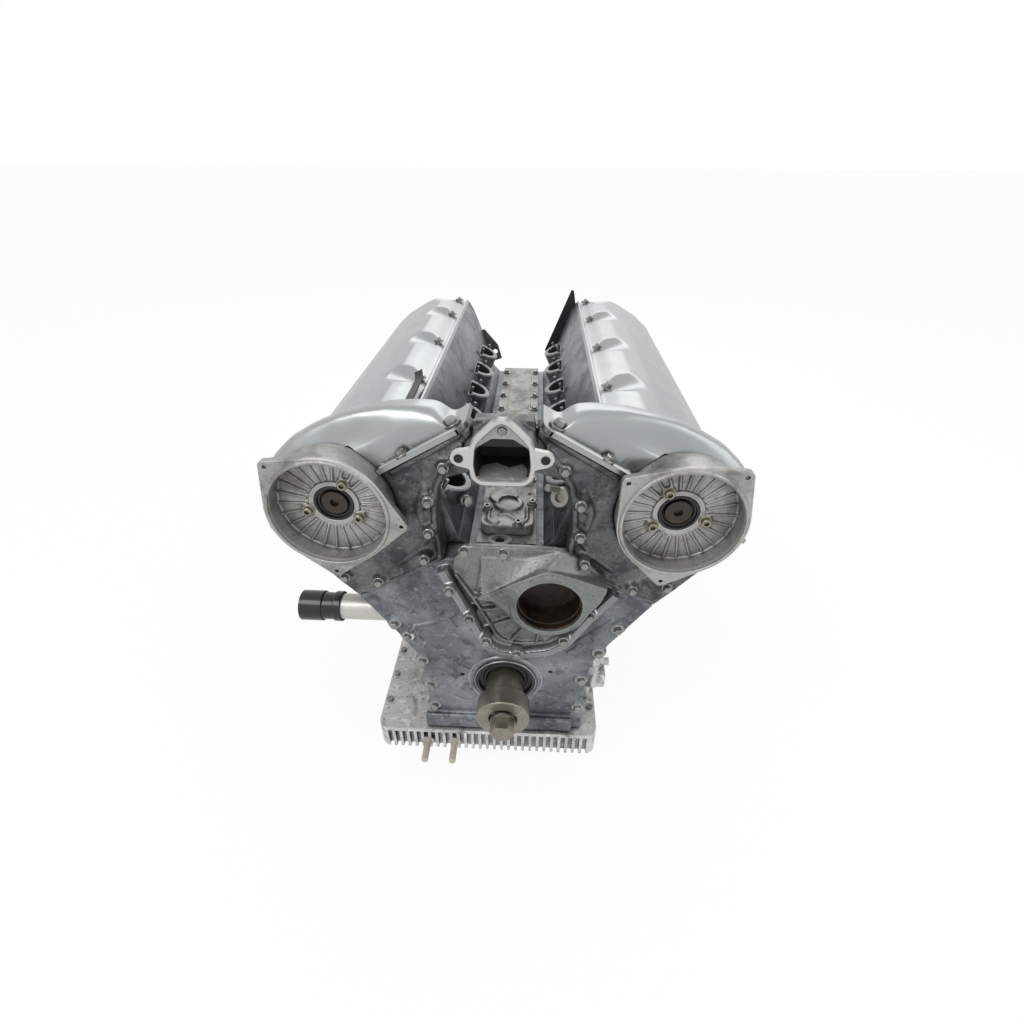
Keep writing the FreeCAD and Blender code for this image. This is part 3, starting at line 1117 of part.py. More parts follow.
# Filler neck and its cap on the left, brackets and stubs on the right.
neck = cut("neck", rod_x("neck_tube", "filler_radius", ("filler_end", "filler_root"), "filler_y", "filler_z"),
           rod_x("neck_bore", "filler_radius-4", ("filler_end-1", "filler_root+1"), "filler_y", "filler_z"))
cover_shape = parts["timing_cover"]
node("filler_neck", cut("neck_seated", cut("neck_trimmed", neck, cover_shape), parts["cylinder_block"]))
cap_blank = fuse("cap_blank", [rod_x("cap_barrel", "cap_radius-2", ("cap_end", "filler_end"), "filler_y", "filler_z"),
                               rod_x("cap_collar", "cap_radius", ("filler_end-10", "filler_end"), "filler_y", "filler_z"),
                               rod_x("cap_rim", "cap_radius", ("cap_end", "cap_end+30"), "filler_y", "filler_z")])
node("filler_cap", cap_blank)

bracket = fuse("bracket_set", [
    box("bracket_pad", ("skirt_half", "skirt_half+22"), (BLOCK_FRONT + "+2", BLOCK_FRONT + "+80"), ("-52", "8")),
    box("bracket_ear", ("skirt_half+20", "skirt_half+34"), (BLOCK_FRONT + "+2", BLOCK_FRONT + "+30"), ("-50", "-24")),
    rod_x("stub_low", "6", ("skirt_half+20", "skirt_half+38"), BLOCK_FRONT + "+16", "-8"),
    rod_z("boss_low", "7", ("pan_plane", "-70"), "skirt_half+10", BLOCK_FRONT + "+29"),
    box("boss_web", ("skirt_half", "skirt_half+10"), (BLOCK_FRONT + "+23", BLOCK_FRONT + "+35"), ("pan_plane", "-50"))])
node("side_bracket", bracket)
node("rear_shroud", prism("shroud", [("48", "258"), ("97", "380"), ("102", "378"), ("108", "345"), ("96", "300"),
                                     ("80", "252")], ("block_rear", "block_rear+2")))
eye_plate = prism("lifting_plate", [("-42", "240"), ("-50", "268"), ("-78", "300"), ("-98", "292"), ("-92", "258"),
                                    ("-66", "232")], ("block_rear", "block_rear+4"))
eye_way = rod_y("lifting_way", "5", ("block_rear-1", "block_rear+5"), "-56", "254")
node("lifting_eye", cut("lifting", eye_plate, eye_way))
clip = prism("hose_clip", [("-70", "395"), ("-70", "388"), ("-104", "352"), ("-104", "395")], ("-604", "-601"))
node("hose_bracket", cut("clip_trim", cut("clip_fit", clip, parts["left_cam_cover"]), parts["left_cylinder_head"]))

doc.recompute()
failed = [o.Label for o in doc.Objects if "Invalid" in o.State or "Error" in o.State]
if failed:
    raise SystemExit("objects failed: " + ", ".join(failed))
unsound = [name for name, obj in parts.items()
           if obj.Shape.isNull() or not obj.Shape.isValid() or not obj.Shape.Solids]
if unsound:
    raise SystemExit("pieces not valid: " + ", ".join(unsound))

os.makedirs("parts", exist_ok=True)
for name, obj in parts.items():
    obj.Shape.exportStep(f"parts/{name}.step")
    print(f"{name}: {len(obj.Shape.Solids)} solids, {obj.Shape.Volume / 1000:.0f} cm3")
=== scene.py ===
import json
from math import cos, exp, hypot, pi, radians, sin, sqrt

import bmesh
import bpy
from mathutils import Matrix, Vector


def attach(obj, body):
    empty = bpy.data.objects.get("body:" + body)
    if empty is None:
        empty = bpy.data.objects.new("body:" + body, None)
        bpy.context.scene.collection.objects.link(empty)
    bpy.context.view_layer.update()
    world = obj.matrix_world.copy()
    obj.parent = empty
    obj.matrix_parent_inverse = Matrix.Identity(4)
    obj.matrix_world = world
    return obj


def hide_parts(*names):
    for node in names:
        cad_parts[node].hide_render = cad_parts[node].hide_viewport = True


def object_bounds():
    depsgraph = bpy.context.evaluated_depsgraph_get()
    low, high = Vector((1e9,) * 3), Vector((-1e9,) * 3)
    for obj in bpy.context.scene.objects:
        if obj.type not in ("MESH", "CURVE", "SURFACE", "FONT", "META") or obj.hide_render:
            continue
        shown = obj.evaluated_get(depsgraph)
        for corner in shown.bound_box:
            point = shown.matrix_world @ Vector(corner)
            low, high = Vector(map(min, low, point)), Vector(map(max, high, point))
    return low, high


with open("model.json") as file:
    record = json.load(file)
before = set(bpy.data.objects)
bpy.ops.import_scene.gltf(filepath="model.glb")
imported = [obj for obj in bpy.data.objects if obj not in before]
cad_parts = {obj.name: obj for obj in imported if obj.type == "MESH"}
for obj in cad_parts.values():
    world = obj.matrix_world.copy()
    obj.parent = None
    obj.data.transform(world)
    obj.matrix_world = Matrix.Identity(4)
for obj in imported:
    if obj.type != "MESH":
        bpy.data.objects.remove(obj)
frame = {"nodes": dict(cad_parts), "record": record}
CAD_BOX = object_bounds()

MM = 0.001
SIN, COS = 0.5, sqrt(0.75)
FORWARD, REARWARD, UPWARD = (0, -1, 0), (0, 1, 0), (0, 0, 1)
SIDES = (1, -1)
BANKS = (("right", 1), ("left", -1))
# Radius, in millimetres, where a turned solid's end is closed
TIP = 0.001
# Front face of the timing cover; axis of a bank's dish, and the radius of its nest in the hump
COVER = -660
DISH_AXIS, DISH_NEST = (347.3, 19.3), 70.4


# Materials

def noise(tree, coords, scale, detail=4, rough=0.6, warp=0):
    tex = tree.nodes.new("ShaderNodeTexNoise")
    tex.inputs["Scale"].default_value = scale
    tex.inputs["Detail"].default_value = detail
    tex.inputs["Roughness"].default_value = rough
    tex.inputs["Distortion"].default_value = warp
    tree.links.new(coords, tex.inputs["Vector"])
    return tex.outputs["Fac"]


def ramp(tree, value, stops):
    """Colour ramp over (place, shade) stops."""
    node = tree.nodes.new("ShaderNodeValToRGB")
    elements = node.color_ramp.elements
    while len(elements) < len(stops):
        elements.new(0.5)
    for element, (at, shade) in zip(elements, stops):
        element.position = at
        element.color = (*shade, 1) if hasattr(shade, "__len__") else (shade, shade, shade, 1)
    tree.links.new(value, node.inputs["Fac"])
    return node.outputs["Color"]


def blend_colour(tree, factor, first, second):
    node = tree.nodes.new("ShaderNodeMix")
    node.data_type = "RGBA"
    for socket, value in ((0, factor), (6, first), (7, second)):
        if hasattr(value, "default_value"):
            tree.links.new(value, node.inputs[socket])
        elif socket == 0:
            node.inputs[0].default_value = value
        else:
            node.inputs[socket].default_value = (*value, 1)
    return node.outputs[2]


def ao_mask(tree, reach, inside, full, none):
    """Mask of a solid's recesses, for painting shade into them, or of its sharp edges when the rays run
    inside it.
    """
    node = tree.nodes.new("ShaderNodeAmbientOcclusion")
    node.samples = 4
    node.inside = inside
    node.inputs["Distance"].default_value = reach * MM
    return ramp(tree, node.outputs["AO"], [(full, 1), (none, 0)])


def metal(name, colour, metallic=0.75, rough=0.45, stains=(), grain=None, spread=0,
          crevice_shade=None, edge_wear_and_highlight=None):
    """Metal mottled by stains, each (scale, colour, low, high, strength), with painted shade darkening
    its recesses (colour, strength) and paler edges, part wear and part painted highlight (colour, strength)."""
    mat = bpy.data.materials.new(name)
    mat.use_nodes = True
    tree = mat.node_tree
    bsdf = tree.nodes["Principled BSDF"]
    bsdf.inputs["Base Color"].default_value = (*colour, 1)
    bsdf.inputs["Metallic"].default_value = metallic
    bsdf.inputs["Roughness"].default_value = rough
    coords = tree.nodes.new("ShaderNodeTexCoord").outputs["Object"]
    shade = None
    for number, (scale, stain, low, high, strength) in enumerate(stains):
        shift = tree.nodes.new("ShaderNodeMapping")
        shift.inputs["Location"].default_value = (0.37 * number + 1.3, 0.21 * number, 0.11 * number)
        tree.links.new(coords, shift.inputs["Vector"])
        field = noise(tree, shift.outputs["Vector"], scale, 6, 0.62, 0.35)
        mask = ramp(tree, field, [(low, 0), (high, strength)])
        shade = blend_colour(tree, mask, shade or colour, stain)
    # The first mask paints paler edges, part wear and part painted highlight; the second paints shade into
    # recesses
    for setting, reach, inside, full, none in ((edge_wear_and_highlight, 2.2, True, 0.25, 0.62), (crevice_shade, 16, False, 0.15, 0.75)):
        if setting:
            mask = ao_mask(tree, reach, inside, full, none)
            strong = tree.nodes.new("ShaderNodeMath")
            strong.operation = "MULTIPLY"
            strong.inputs[1].default_value = setting[1]
            tree.links.new(mask, strong.inputs[0])
            shade = blend_colour(tree, strong.outputs[0], shade or colour, setting[0])
    if shade:
        tree.links.new(shade, bsdf.inputs["Base Color"])
    if spread:
        field = noise(tree, coords, 38, 5)
        tree.links.new(ramp(tree, field, [(0.3, rough - spread), (0.7, rough + spread)]),
                       bsdf.inputs["Roughness"])
    if grain:
        bump = tree.nodes.new("ShaderNodeBump")
        bump.inputs["Strength"].default_value = grain[1]
        bump.inputs["Distance"].default_value = 0.0006
        tree.links.new(noise(tree, coords, grain[0], 8, 0.7), bump.inputs["Height"])
        tree.links.new(bump.outputs["Normal"], bsdf.inputs["Normal"])
    return mat


DARK = (0.035, 0.037, 0.04)
BROWN = (0.10, 0.068, 0.045)
# Near-black painted shade for recesses
CREVICE_SHADE = (0.02, 0.02, 0.019)
# Where present, a material's last two entries are painted shade in its recesses and paler edges, part wear
# and part painted highlight
M = {
    "cover": metal(
        "cover_satin", (0.36, 0.38, 0.378), 0.9, 0.32,
        [(7, (0.33, 0.35, 0.355), 0.45, 0.75, 0.7), (55, (0.36, 0.375, 0.375), 0.5, 0.75, 0.4)],
        (240, 0.06), 0.05, (CREVICE_SHADE, 0.6)),
    "cast": metal(
        "cast_mottled", (0.185, 0.197, 0.206), 0.72, 0.36,
        [(9, (0.055, 0.062, 0.075), 0.47, 0.66, 0.85), (11, (0.36, 0.375, 0.39), 0.46, 0.76, 0.8),
         (24, (0.22, 0.25, 0.30), 0.56, 0.7, 0.6), (17, BROWN, 0.6, 0.74, 0.55),
         (55, DARK, 0.53, 0.66, 0.65), (150, (0.46, 0.47, 0.48), 0.58, 0.70, 0.4),
         (420, DARK, 0.56, 0.66, 0.6)],
        (300, 0.7), 0.1, (CREVICE_SHADE, 0.85), ((0.7, 0.71, 0.71), 0.95)),
    "cast_dark": metal(
        "cast_dark", (0.13, 0.135, 0.135), 0.68, 0.4,
        [(10, (0.25, 0.255, 0.25), 0.46, 0.74, 0.8), (28, DARK, 0.47, 0.62, 0.85),
         (20, BROWN, 0.57, 0.74, 0.6), (120, (0.34, 0.34, 0.33), 0.57, 0.70, 0.45),
         (380, DARK, 0.53, 0.65, 0.7)],
        (260, 0.9), 0.1, (CREVICE_SHADE, 0.85), ((0.55, 0.55, 0.54), 0.8)),
    "dish": metal(
        "dish_cast", (0.40, 0.395, 0.375), 0.72, 0.36,
        [(20, (0.13, 0.125, 0.115), 0.46, 0.66, 0.8), (45, (0.48, 0.48, 0.465), 0.55, 0.7, 0.6),
         (160, (0.40, 0.395, 0.38), 0.55, 0.68, 0.6), (420, (0.1, 0.096, 0.088), 0.55, 0.66, 0.6)],
        (300, 0.7), 0.08, (CREVICE_SHADE, 0.8), ((0.58, 0.57, 0.55), 0.75)),
    "pan": metal(
        "pan_cast", (0.55, 0.545, 0.53), 0.5, 0.42,
        [(30, (0.17, 0.16, 0.145), 0.54, 0.66, 0.8), (13, (0.14, 0.135, 0.125), 0.58, 0.72, 0.6),
         (70, (0.8, 0.795, 0.78), 0.53, 0.66, 0.8), (200, (0.10, 0.095, 0.09), 0.56, 0.66, 0.7)],
        (260, 0.8), 0.1, (CREVICE_SHADE, 0.92), ((0.8, 0.79, 0.77), 0.8)),
    "pump": metal(
        "pump_cast", (0.21, 0.225, 0.218), 0.7, 0.4,
        [(16, (0.09, 0.094, 0.088), 0.47, 0.64, 0.8), (30, (0.28, 0.29, 0.27), 0.55, 0.7, 0.6),
         (140, (0.33, 0.335, 0.32), 0.56, 0.68, 0.55), (400, DARK, 0.55, 0.66, 0.6)],
        (300, 0.8), 0.1, (CREVICE_SHADE, 0.85), ((0.45, 0.46, 0.44), 0.7)),
    "raised": metal(
        "cast_raised", (0.225, 0.235, 0.238), 0.68, 0.42,
        [(14, (0.12, 0.127, 0.135), 0.46, 0.66, 0.8), (60, (0.34, 0.35, 0.35), 0.52, 0.7, 0.5),
         (380, DARK, 0.56, 0.66, 0.5)],
        (300, 0.7), 0.1, (CREVICE_SHADE, 0.85), ((0.31, 0.32, 0.32), 0.5)),
    "rust": metal(
        "rust_bore", (0.03, 0.017, 0.010), 0.3, 0.4,
        [(30, (0.008, 0.006, 0.005), 0.42, 0.6, 0.9), (14, (0.075, 0.033, 0.013), 0.52, 0.7, 0.8),
         (90, (0.14, 0.085, 0.045), 0.58, 0.7, 0.5)],
        (260, 0.7), 0.1),
    "machined": metal(
        "machined_alloy", (0.52, 0.51, 0.475), 0.5, 0.4,
        [(30, (0.40, 0.385, 0.345), 0.5, 0.72, 0.6), (140, (0.62, 0.61, 0.58), 0.55, 0.7, 0.4)],
        (400, 0.25), 0.05, (BROWN, 0.6)),
    "rim": metal(
        "rim_machined", (0.55, 0.54, 0.51), 0.4, 0.4,
        [(40, (0.5, 0.485, 0.44), 0.5, 0.72, 0.5)], (400, 0.15), 0.05),
    "valley": metal(
        "valley_alloy", (0.30, 0.302, 0.288), 0.6, 0.42,
        [(16, (0.10, 0.098, 0.088), 0.46, 0.6, 0.85), (45, (0.42, 0.415, 0.39), 0.54, 0.68, 0.7),
         (26, (0.26, 0.17, 0.09), 0.6, 0.74, 0.6), (180, DARK, 0.56, 0.66, 0.6)],
        (300, 0.6), 0.1, (CREVICE_SHADE, 0.85), ((0.55, 0.55, 0.52), 0.6)),
    "steel": metal(
        "hub_steel", (0.255, 0.235, 0.195), 0.85, 0.34,
        [(14, (0.14, 0.12, 0.09), 0.45, 0.68, 0.7), (60, (0.36, 0.34, 0.30), 0.53, 0.7, 0.5),
         (180, (0.09, 0.08, 0.06), 0.57, 0.68, 0.6)],
        (420, 0.25), 0.08, (CREVICE_SHADE, 0.7), ((0.5, 0.48, 0.42), 0.5)),
    "bolt": metal(
        "bolt_steel", (0.28, 0.28, 0.27), 0.85, 0.3,
        [(60, (0.12, 0.115, 0.10), 0.5, 0.68, 0.7)], (500, 0.2), 0.06, (CREVICE_SHADE, 0.8),
        ((0.5, 0.5, 0.48), 0.25)),
    "brass": metal(
        "screw_brass", (0.31, 0.295, 0.235), 0.85, 0.34,
        [(80, (0.14, 0.12, 0.07), 0.5, 0.68, 0.7)], (500, 0.2), 0.06, (CREVICE_SHADE, 0.8)),
    "inner": metal(
        "inner_steel", (0.30, 0.285, 0.26), 0.85, 0.36,
        [(30, (0.14, 0.12, 0.09), 0.5, 0.7, 0.6)], (420, 0.15), 0.05),
    "oily": metal(
        "oily_steel", (0.05, 0.042, 0.034), 0.7, 0.3,
        [(40, (0.12, 0.085, 0.05), 0.55, 0.72, 0.7)], (420, 0.2), 0.06),
    "black": metal(
        "black_metal", (0.02, 0.021, 0.022), 0.25, 0.42,
        [(60, (0.06, 0.06, 0.06), 0.58, 0.72, 0.6)], (260, 0.3), 0.08),
    "gloss": metal(
        "black_gloss", (0.010, 0.010, 0.011), 0, 0.2,
        [(40, (0.03, 0.03, 0.03), 0.58, 0.75, 0.5)], (300, 0.08)),
    "rubber": metal(
        "seal_rubber", (0.014, 0.014, 0.014), 0, 0.5,
        [(50, (0.04, 0.035, 0.03), 0.55, 0.72, 0.6)], (400, 0.3)),
    "cream": metal(
        "pin_cream", (0.50, 0.46, 0.36), 0.15, 0.42,
        [(40, (0.30, 0.26, 0.17), 0.5, 0.72, 0.7)], (400, 0.2)),
    "gasket": metal(
        "gasket_dark", (0.03, 0.03, 0.03), 0, 0.7,
        [(60, (0.09, 0.085, 0.08), 0.55, 0.7, 0.6)], (300, 0.3)),
    # Near-black painted shade standing in for the dark insides of ports, holes and the outlet's mouth
    "painted_shade": metal(
        "painted_shade_dark", (0.010, 0.010, 0.010), 0, 0.75,
        [(50, (0.03, 0.024, 0.018), 0.5, 0.7, 0.7)], (300, 0.3)),
    "scale": metal(
        "light_scale", (0.26, 0.255, 0.235), 0.2, 0.6,
        [(30, (0.2, 0.19, 0.16), 0.48, 0.64, 0.85), (18, (0.28, 0.2, 0.12), 0.57, 0.72, 0.7),
         (150, (0.6, 0.59, 0.56), 0.55, 0.68, 0.6)], (240, 0.9), 0.1, (CREVICE_SHADE, 0.7)),
}

LOOK = {
    "cylinder_block": "cast", "timing_cover": "cast", "coolant_outlet": "cast_dark",
    "valley_cover": "valley", "valley_front_cover": "valley", "rear_seal_carrier": "cast",
    "side_bracket": "pan", "filler_neck": "machined", "filler_cap": "gloss", "oil_pan": "pan",
    "oil_pan_pins": "cream", "water_pump_housing": "pump", "crank_front_seal": "rubber",
    "head_gaskets": "gasket", "rear_shroud": "black", "hose_bracket": "black",
    "lifting_eye": "bolt", "distributor_screws": "brass", "chain_guides": "black",
    "crank_hub": "steel", "crank_bolt": "steel",
    "right_exhaust_camshaft": "oily", "left_exhaust_camshaft": "oily",
}
for node in frame["nodes"]:
    if node not in LOOK:
        LOOK[node] = ("cover" if node.endswith("cam_cover") else "dish" if "distributor_housing" in node
                      else "cast_dark" if "chain_housing" in node else "cast" if "cylinder_head" in node
                      else "bolt" if "bolts" in node else "inner")
BODY_OF = {node: body for body, nodes in frame["record"]["behaviour"]["bodies"].items() for node in nodes}

for node, obj in frame["nodes"].items():
    for slot in obj.material_slots:
        slot.material = M[LOOK[node]]


# Building blocks

def loose(name, bm):
    """Object made of a mesh: a helper solid, until add() makes a piece of it."""
    mesh = bpy.data.meshes.new(name)
    bm.to_mesh(mesh)
    bm.free()
    obj = bpy.data.objects.new(name, mesh)
    bpy.context.collection.objects.link(obj)
    return obj


def paint(obj, look):
    obj.data.materials.clear()
    obj.data.materials.append(M[look])


def add(name, bm, look, like):
    """New piece from a mesh, with the body of a CAD node and the given material."""
    obj = loose(name, bm)
    paint(obj, look)
    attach(obj, BODY_OF[like])
    return obj


def bake(obj):
    """Replace an object's mesh by the one its modifiers make."""
    graph = bpy.context.evaluated_depsgraph_get()
    mesh = bpy.data.meshes.new_from_object(obj.evaluated_get(graph))
    obj.modifiers.clear()
    obj.data = mesh


def smooth(obj, angle=35):
    obj.data.shade_smooth()
    obj.modifiers.new("normals", "WEIGHTED_NORMAL").keep_sharp = True
    obj.data.set_sharp_from_angle(angle=radians(angle))


def dress(node, width):
    """Stand-in for a CAD node: its seams joined, its flat faces merged, its edges rounded."""
    bm = bmesh.new()
    bm.from_mesh(frame["nodes"][node].data)
    bmesh.ops.remove_doubles(bm, verts=bm.verts, dist=0.00002)
    bmesh.ops.dissolve_limit(bm, angle_limit=radians(1), verts=bm.verts, edges=bm.edges)
    obj = add("dressed_" + node, bm, LOOK[node], node)
    mod = obj.modifiers.new("round", "BEVEL")
    mod.width = width * MM
    mod.segments = 2
    mod.limit_method = "ANGLE"
    mod.angle_limit = radians(32)
    bake(obj)
    smooth(obj, 40)
    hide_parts(node)


def absorb(bm, parts):
    """Take helper solids into one mesh."""
    for part in parts:
        bm.from_mesh(part.data)
        bpy.data.objects.remove(part)


def melt(obj, voxel, passes):
    """Merge crossing solids into one skin with soft corners."""
    merge = obj.modifiers.new("merge", "REMESH")
    merge.mode = "VOXEL"
    merge.voxel_size = voxel * MM
    soften = obj.modifiers.new("soften", "SMOOTH")
    soften.factor = 0.5
    soften.iterations = passes


def carve(obj, cutter):
    """Cut a helper solid out of a piece."""
    mod = obj.modifiers.new("cut", "BOOLEAN")
    mod.operation = "DIFFERENCE"
    mod.object = cutter
    bake(obj)
    bpy.data.objects.remove(cutter)


def cast(node, extras, voxel, passes=3, keep=1):
    """One casting: a CAD node merged with added solids, its corners softened as cast."""
    bm = bmesh.new()
    bm.from_mesh(frame["nodes"][node].data)
    absorb(bm, extras)
    obj = add("cast_" + node, bm, LOOK[node], node)
    melt(obj, voxel, passes)
    if keep < 1:
        obj.modifiers.new("thin", "DECIMATE").ratio = keep
    bake(obj)
    paint(obj, LOOK[node])
    obj.data.shade_smooth()
    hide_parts(node)
    return obj


def loft(bm, rings, ends=True, around=False):
    """Skin rings of equal length, with both ends closed or the last joined to the first."""
    loops = [[bm.verts.new(p) for p in ring] for ring in rings]
    for first, second in zip(loops, loops[1:] + (loops[:1] if around else [])):
        for k in range(len(first)):
            n = (k + 1) % len(first)
            bm.faces.new((first[k], first[n], second[n], second[k]))
    if ends and not around:
        bm.faces.new(list(reversed(loops[0])))
        bm.faces.new(loops[-1])
    bmesh.ops.recalc_face_normals(bm, faces=bm.faces)


def lathe(bm, profile, centre, axis=FORWARD, count=28):
    """Solid of revolution; profile is (radius, height along the axis) in millimetres, a
    ring where it ends as it starts."""
    axis = Vector(axis).normalized()
    across = axis.orthogonal().normalized()
    other = axis.cross(across)
    rings = [[centre + axis * h * MM + (across * cos(a) + other * sin(a)) * r * MM
              for a in (2 * pi * k / count for k in range(count))] for r, h in profile]
    loft(bm, rings, profile[0][0] > TIP and profile[0] != profile[-1])


def turned(profile, centre, axis=FORWARD, count=96):
    """Helper solid of revolution."""
    bm = bmesh.new()
    lathe(bm, profile, centre, axis, count)
    return loose("turned", bm)


def spot(x, y, z):
    return Vector((x, y, z)) * MM


def on_bank(side, u, v, y):
    """Point of a bank in the frame, from millimetres."""
    return Vector((side * (u * SIN + v * COS), y, u * COS - v * SIN)) * MM


def rail(points, width, height, sink=2, place=lambda x, z, out: spot(x, COVER - out, z)):
    """Rounded raised rib along points of a face; place turns (x, z, height) into the frame."""
    line = smoothed(points, max(8, len(points) * 4), 1)
    shape = [(-1, -sink), (-0.9, height * 0.6), (-0.72, height * 0.94), (0, height),
             (0.72, height * 0.94), (0.9, height * 0.6), (1, -sink)]
    rings = []
    for k, (x, z) in enumerate(line):
        x0, z0 = line[max(0, k - 1)]
        x1, z1 = line[min(len(line) - 1, k + 1)]
        length = hypot(x1 - x0, z1 - z0)
        nx, nz = (z1 - z0) / length, -(x1 - x0) / length
        half = width / 2
        rings.append([place(x + nx * half * s, z + nz * half * s, out) for s, out in shape])
    bm = bmesh.new()
    loft(bm, rings)
    return loose("rail", bm)


def boss(at, radius, height, foot=3, axis=FORWARD):
    """Cast tower on a face, flared at its foot."""
    bm = bmesh.new()
    lathe(bm, [(TIP, -foot), (radius + 3, -foot), (radius + 2.2, 0.6), (radius + 0.6, 3.5),
               (radius, height - 1.2), (radius - 1.2, height), (TIP, height)], at, axis)
    return loose("boss", bm)


def bolt(bm, at, axis, head=5.5, tall=5, washer=7.2, turn=0):
    """Hex-head bolt with a flat washer and a chamfered crown."""
    axis = Vector(axis).normalized()
    lathe(bm, [(TIP, -1), (washer, -1), (washer, 0.9), (washer - 0.5, 1.4), (TIP, 1.4)], at, axis, 24)
    across = Vector((cos(turn), sin(turn) * 0.3, sin(turn)))
    across = (across - axis * across.dot(axis)).normalized()
    other = axis.cross(across)
    rings = []
    for r, h in ((head, 1), (head, 1.4 + tall - 1), (head * 0.86, 1.4 + tall), (head * 0.3, 1.4 + tall)):
        rings.append([at + axis * h * MM + (across * cos(a) + other * sin(a)) * r * MM
                      for a in (pi / 3 * k for k in range(6))])
    loft(bm, rings)


def cap_screw(bm, at, axis, head=5.5, tall=5, washer=7.5):
    """Socket screw on a washer: the socket is a real recess."""
    lathe(bm, [(TIP, -1), (washer, -1), (washer, 0.8), (washer - 0.6, 1.3), (head + 0.1, 1.3), (head, 1.8),
               (head, tall + 0.6), (head - 0.7, tall + 1.3), (head * 0.55, tall + 1.3),
               (head * 0.52, tall - 1.8), (TIP, tall - 2.2)], at, axis, 24)


def group(name, look, like, maker, angle=38):
    """Piece made of several small solids."""
    bm = bmesh.new()
    maker(bm)
    obj = add(name, bm, look, like)
    smooth(obj, angle)
    return obj


def piece(name, look, maker, *nodes, angle=38):
    """Piece of several small solids that stands for CAD nodes, and rides with the first."""
    obj = group(name, look, nodes[0], maker, angle)
    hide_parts(*nodes)


def lerp(a, b, t):
    return a + (b - a) * t


def step(low, high, x):
    t = min(1, max(0, (x - low) / (high - low)))
    return t * t * (3 - 2 * t)


def soft_min(a, b, k):
    h = max(k - abs(a - b), 0) / k
    return min(a, b) - h * h * k * 0.25


def curve_at(points, x):
    """Height of a polyline at x."""
    if x <= points[0][0]:
        return points[0][1]
    for (x0, y0), (x1, y1) in zip(points, points[1:]):
        if x <= x1:
            return lerp(y0, y1, (x - x0) / max(x1 - x0, 1e-6))
    return points[-1][1]


def smoothed(points, count, passes):
    """Polyline resampled evenly along its length, with its corners rounded."""
    lengths = [0]
    for (x0, y0), (x1, y1) in zip(points, points[1:]):
        lengths.append(lengths[-1] + hypot(x1 - x0, y1 - y0))
    xs = list(zip(lengths, [p[0] for p in points]))
    ys = list(zip(lengths, [p[1] for p in points]))
    line = [(curve_at(xs, lengths[-1] * i / (count - 1)), curve_at(ys, lengths[-1] * i / (count - 1)))
            for i in range(count)]
    for _ in range(passes):
        line = [line[0]] + [((a[0] + 2 * b[0] + c[0]) / 4, (a[1] + 2 * b[1] + c[1]) / 4)
                            for a, b, c in zip(line, line[1:], line[2:])] + [line[-1]]
    return line


def slab(bm, columns, rows, top, floor):
    """Closed slab between a grid of top points and the matching floor points."""
    upper = [[bm.verts.new(top(i, j)) for j in range(rows)] for i in range(columns)]
    lower = [[bm.verts.new(floor(i, j)) if i in (0, columns - 1) or j in (0, rows - 1) else None
              for j in range(rows)] for i in range(columns)]
    for i in range(columns - 1):
        for j in range(rows - 1):
            bm.faces.new((upper[i][j], upper[i][j + 1], upper[i + 1][j + 1], upper[i + 1][j]))
    edge = [(i, 0) for i in range(columns)] + [(columns - 1, j) for j in range(1, rows)]
    edge += [(i, rows - 1) for i in range(columns - 2, -1, -1)] + [(0, j) for j in range(rows - 2, 0, -1)]
    for (a, b), (c, d) in zip(edge, edge[1:] + edge[:1]):
        bm.faces.new((upper[a][b], upper[c][d], lower[c][d], lower[a][b]))
    bm.faces.new([lower[a][b] for a, b in reversed(edge)])
    bmesh.ops.recalc_face_normals(bm, faces=bm.faces)


# Cam covers

CROWN = [(-85, 366.6), (-79, 366.9), (-72, 378), (-66, 387.5), (-50, 398.5), (-20, 403.5), (25, 403.5),
         (60, 396.5), (80, 383.5), (88, 374), (92, 366.9), (100, 366.6)]
PROFILE = smoothed(CROWN, 110, 5)
BOLT_V = -74
BOLT_Y = {1: (-476, -318, -160, -40), -1: (-460, -302, -144, -40)}


def crown_height(side, v, u, y):
    """Crowned roof with a scoop over each bolt, running up to a point on the shoulder."""
    for at in BOLT_Y[side]:
        across = (y - at) * 0.9
        reach = hypot(v - BOLT_V, across)
        scoop = 373.4 + max(0, reach - 9) * 0.92
        if u > 368:
            u = soft_min(u, scoop, 3)
    back = 366.6 + max(0, -20 - y) * 3.2
    u = soft_min(u, max(back, 366.6), 9) if u > 367 else u
    lip = 1.6 * exp(-((v + 83.4) / 1.1) ** 2)
    return max(u, 366.2) + lip


def crown_cover(side, word):
    bm = bmesh.new()
    stations = []
    y = -636
    while y < -18:
        near = min(abs(y - at) for at in BOLT_Y[side])
        stations.append(y)
        y += 1.5 if near < 42 or y > -46 else 7
    stations.append(-18)

    def top(i, j):
        v, u = PROFILE[j]
        return on_bank(side, crown_height(side, v, u, stations[i]), v, stations[i])

    def floor(i, j):
        return on_bank(side, 361.6, PROFILE[j][0], stations[i])

    slab(bm, len(stations), len(PROFILE), top, floor)
    return add(f"{word}_crown", bm, "cover", f"{word}_cam_cover")


RIDGE = [(-162, 359.5), (-146, 359.5), (-141, 363), (-139, 371), (-134, 381), (-120, 391), (-90, 406.5),
         (-60, 417), (-34, 423.5), (0, 427), (27, 427), (52, 421.5), (75, 411), (90, 396), (98, 379),
         (104, 360)]
HUMP = smoothed(RIDGE, 130, 4)
HUMP_BACK, HUMP_FOOT, HUMP_EDGE = -607, -650.5, -663
FLANGE = 359.5


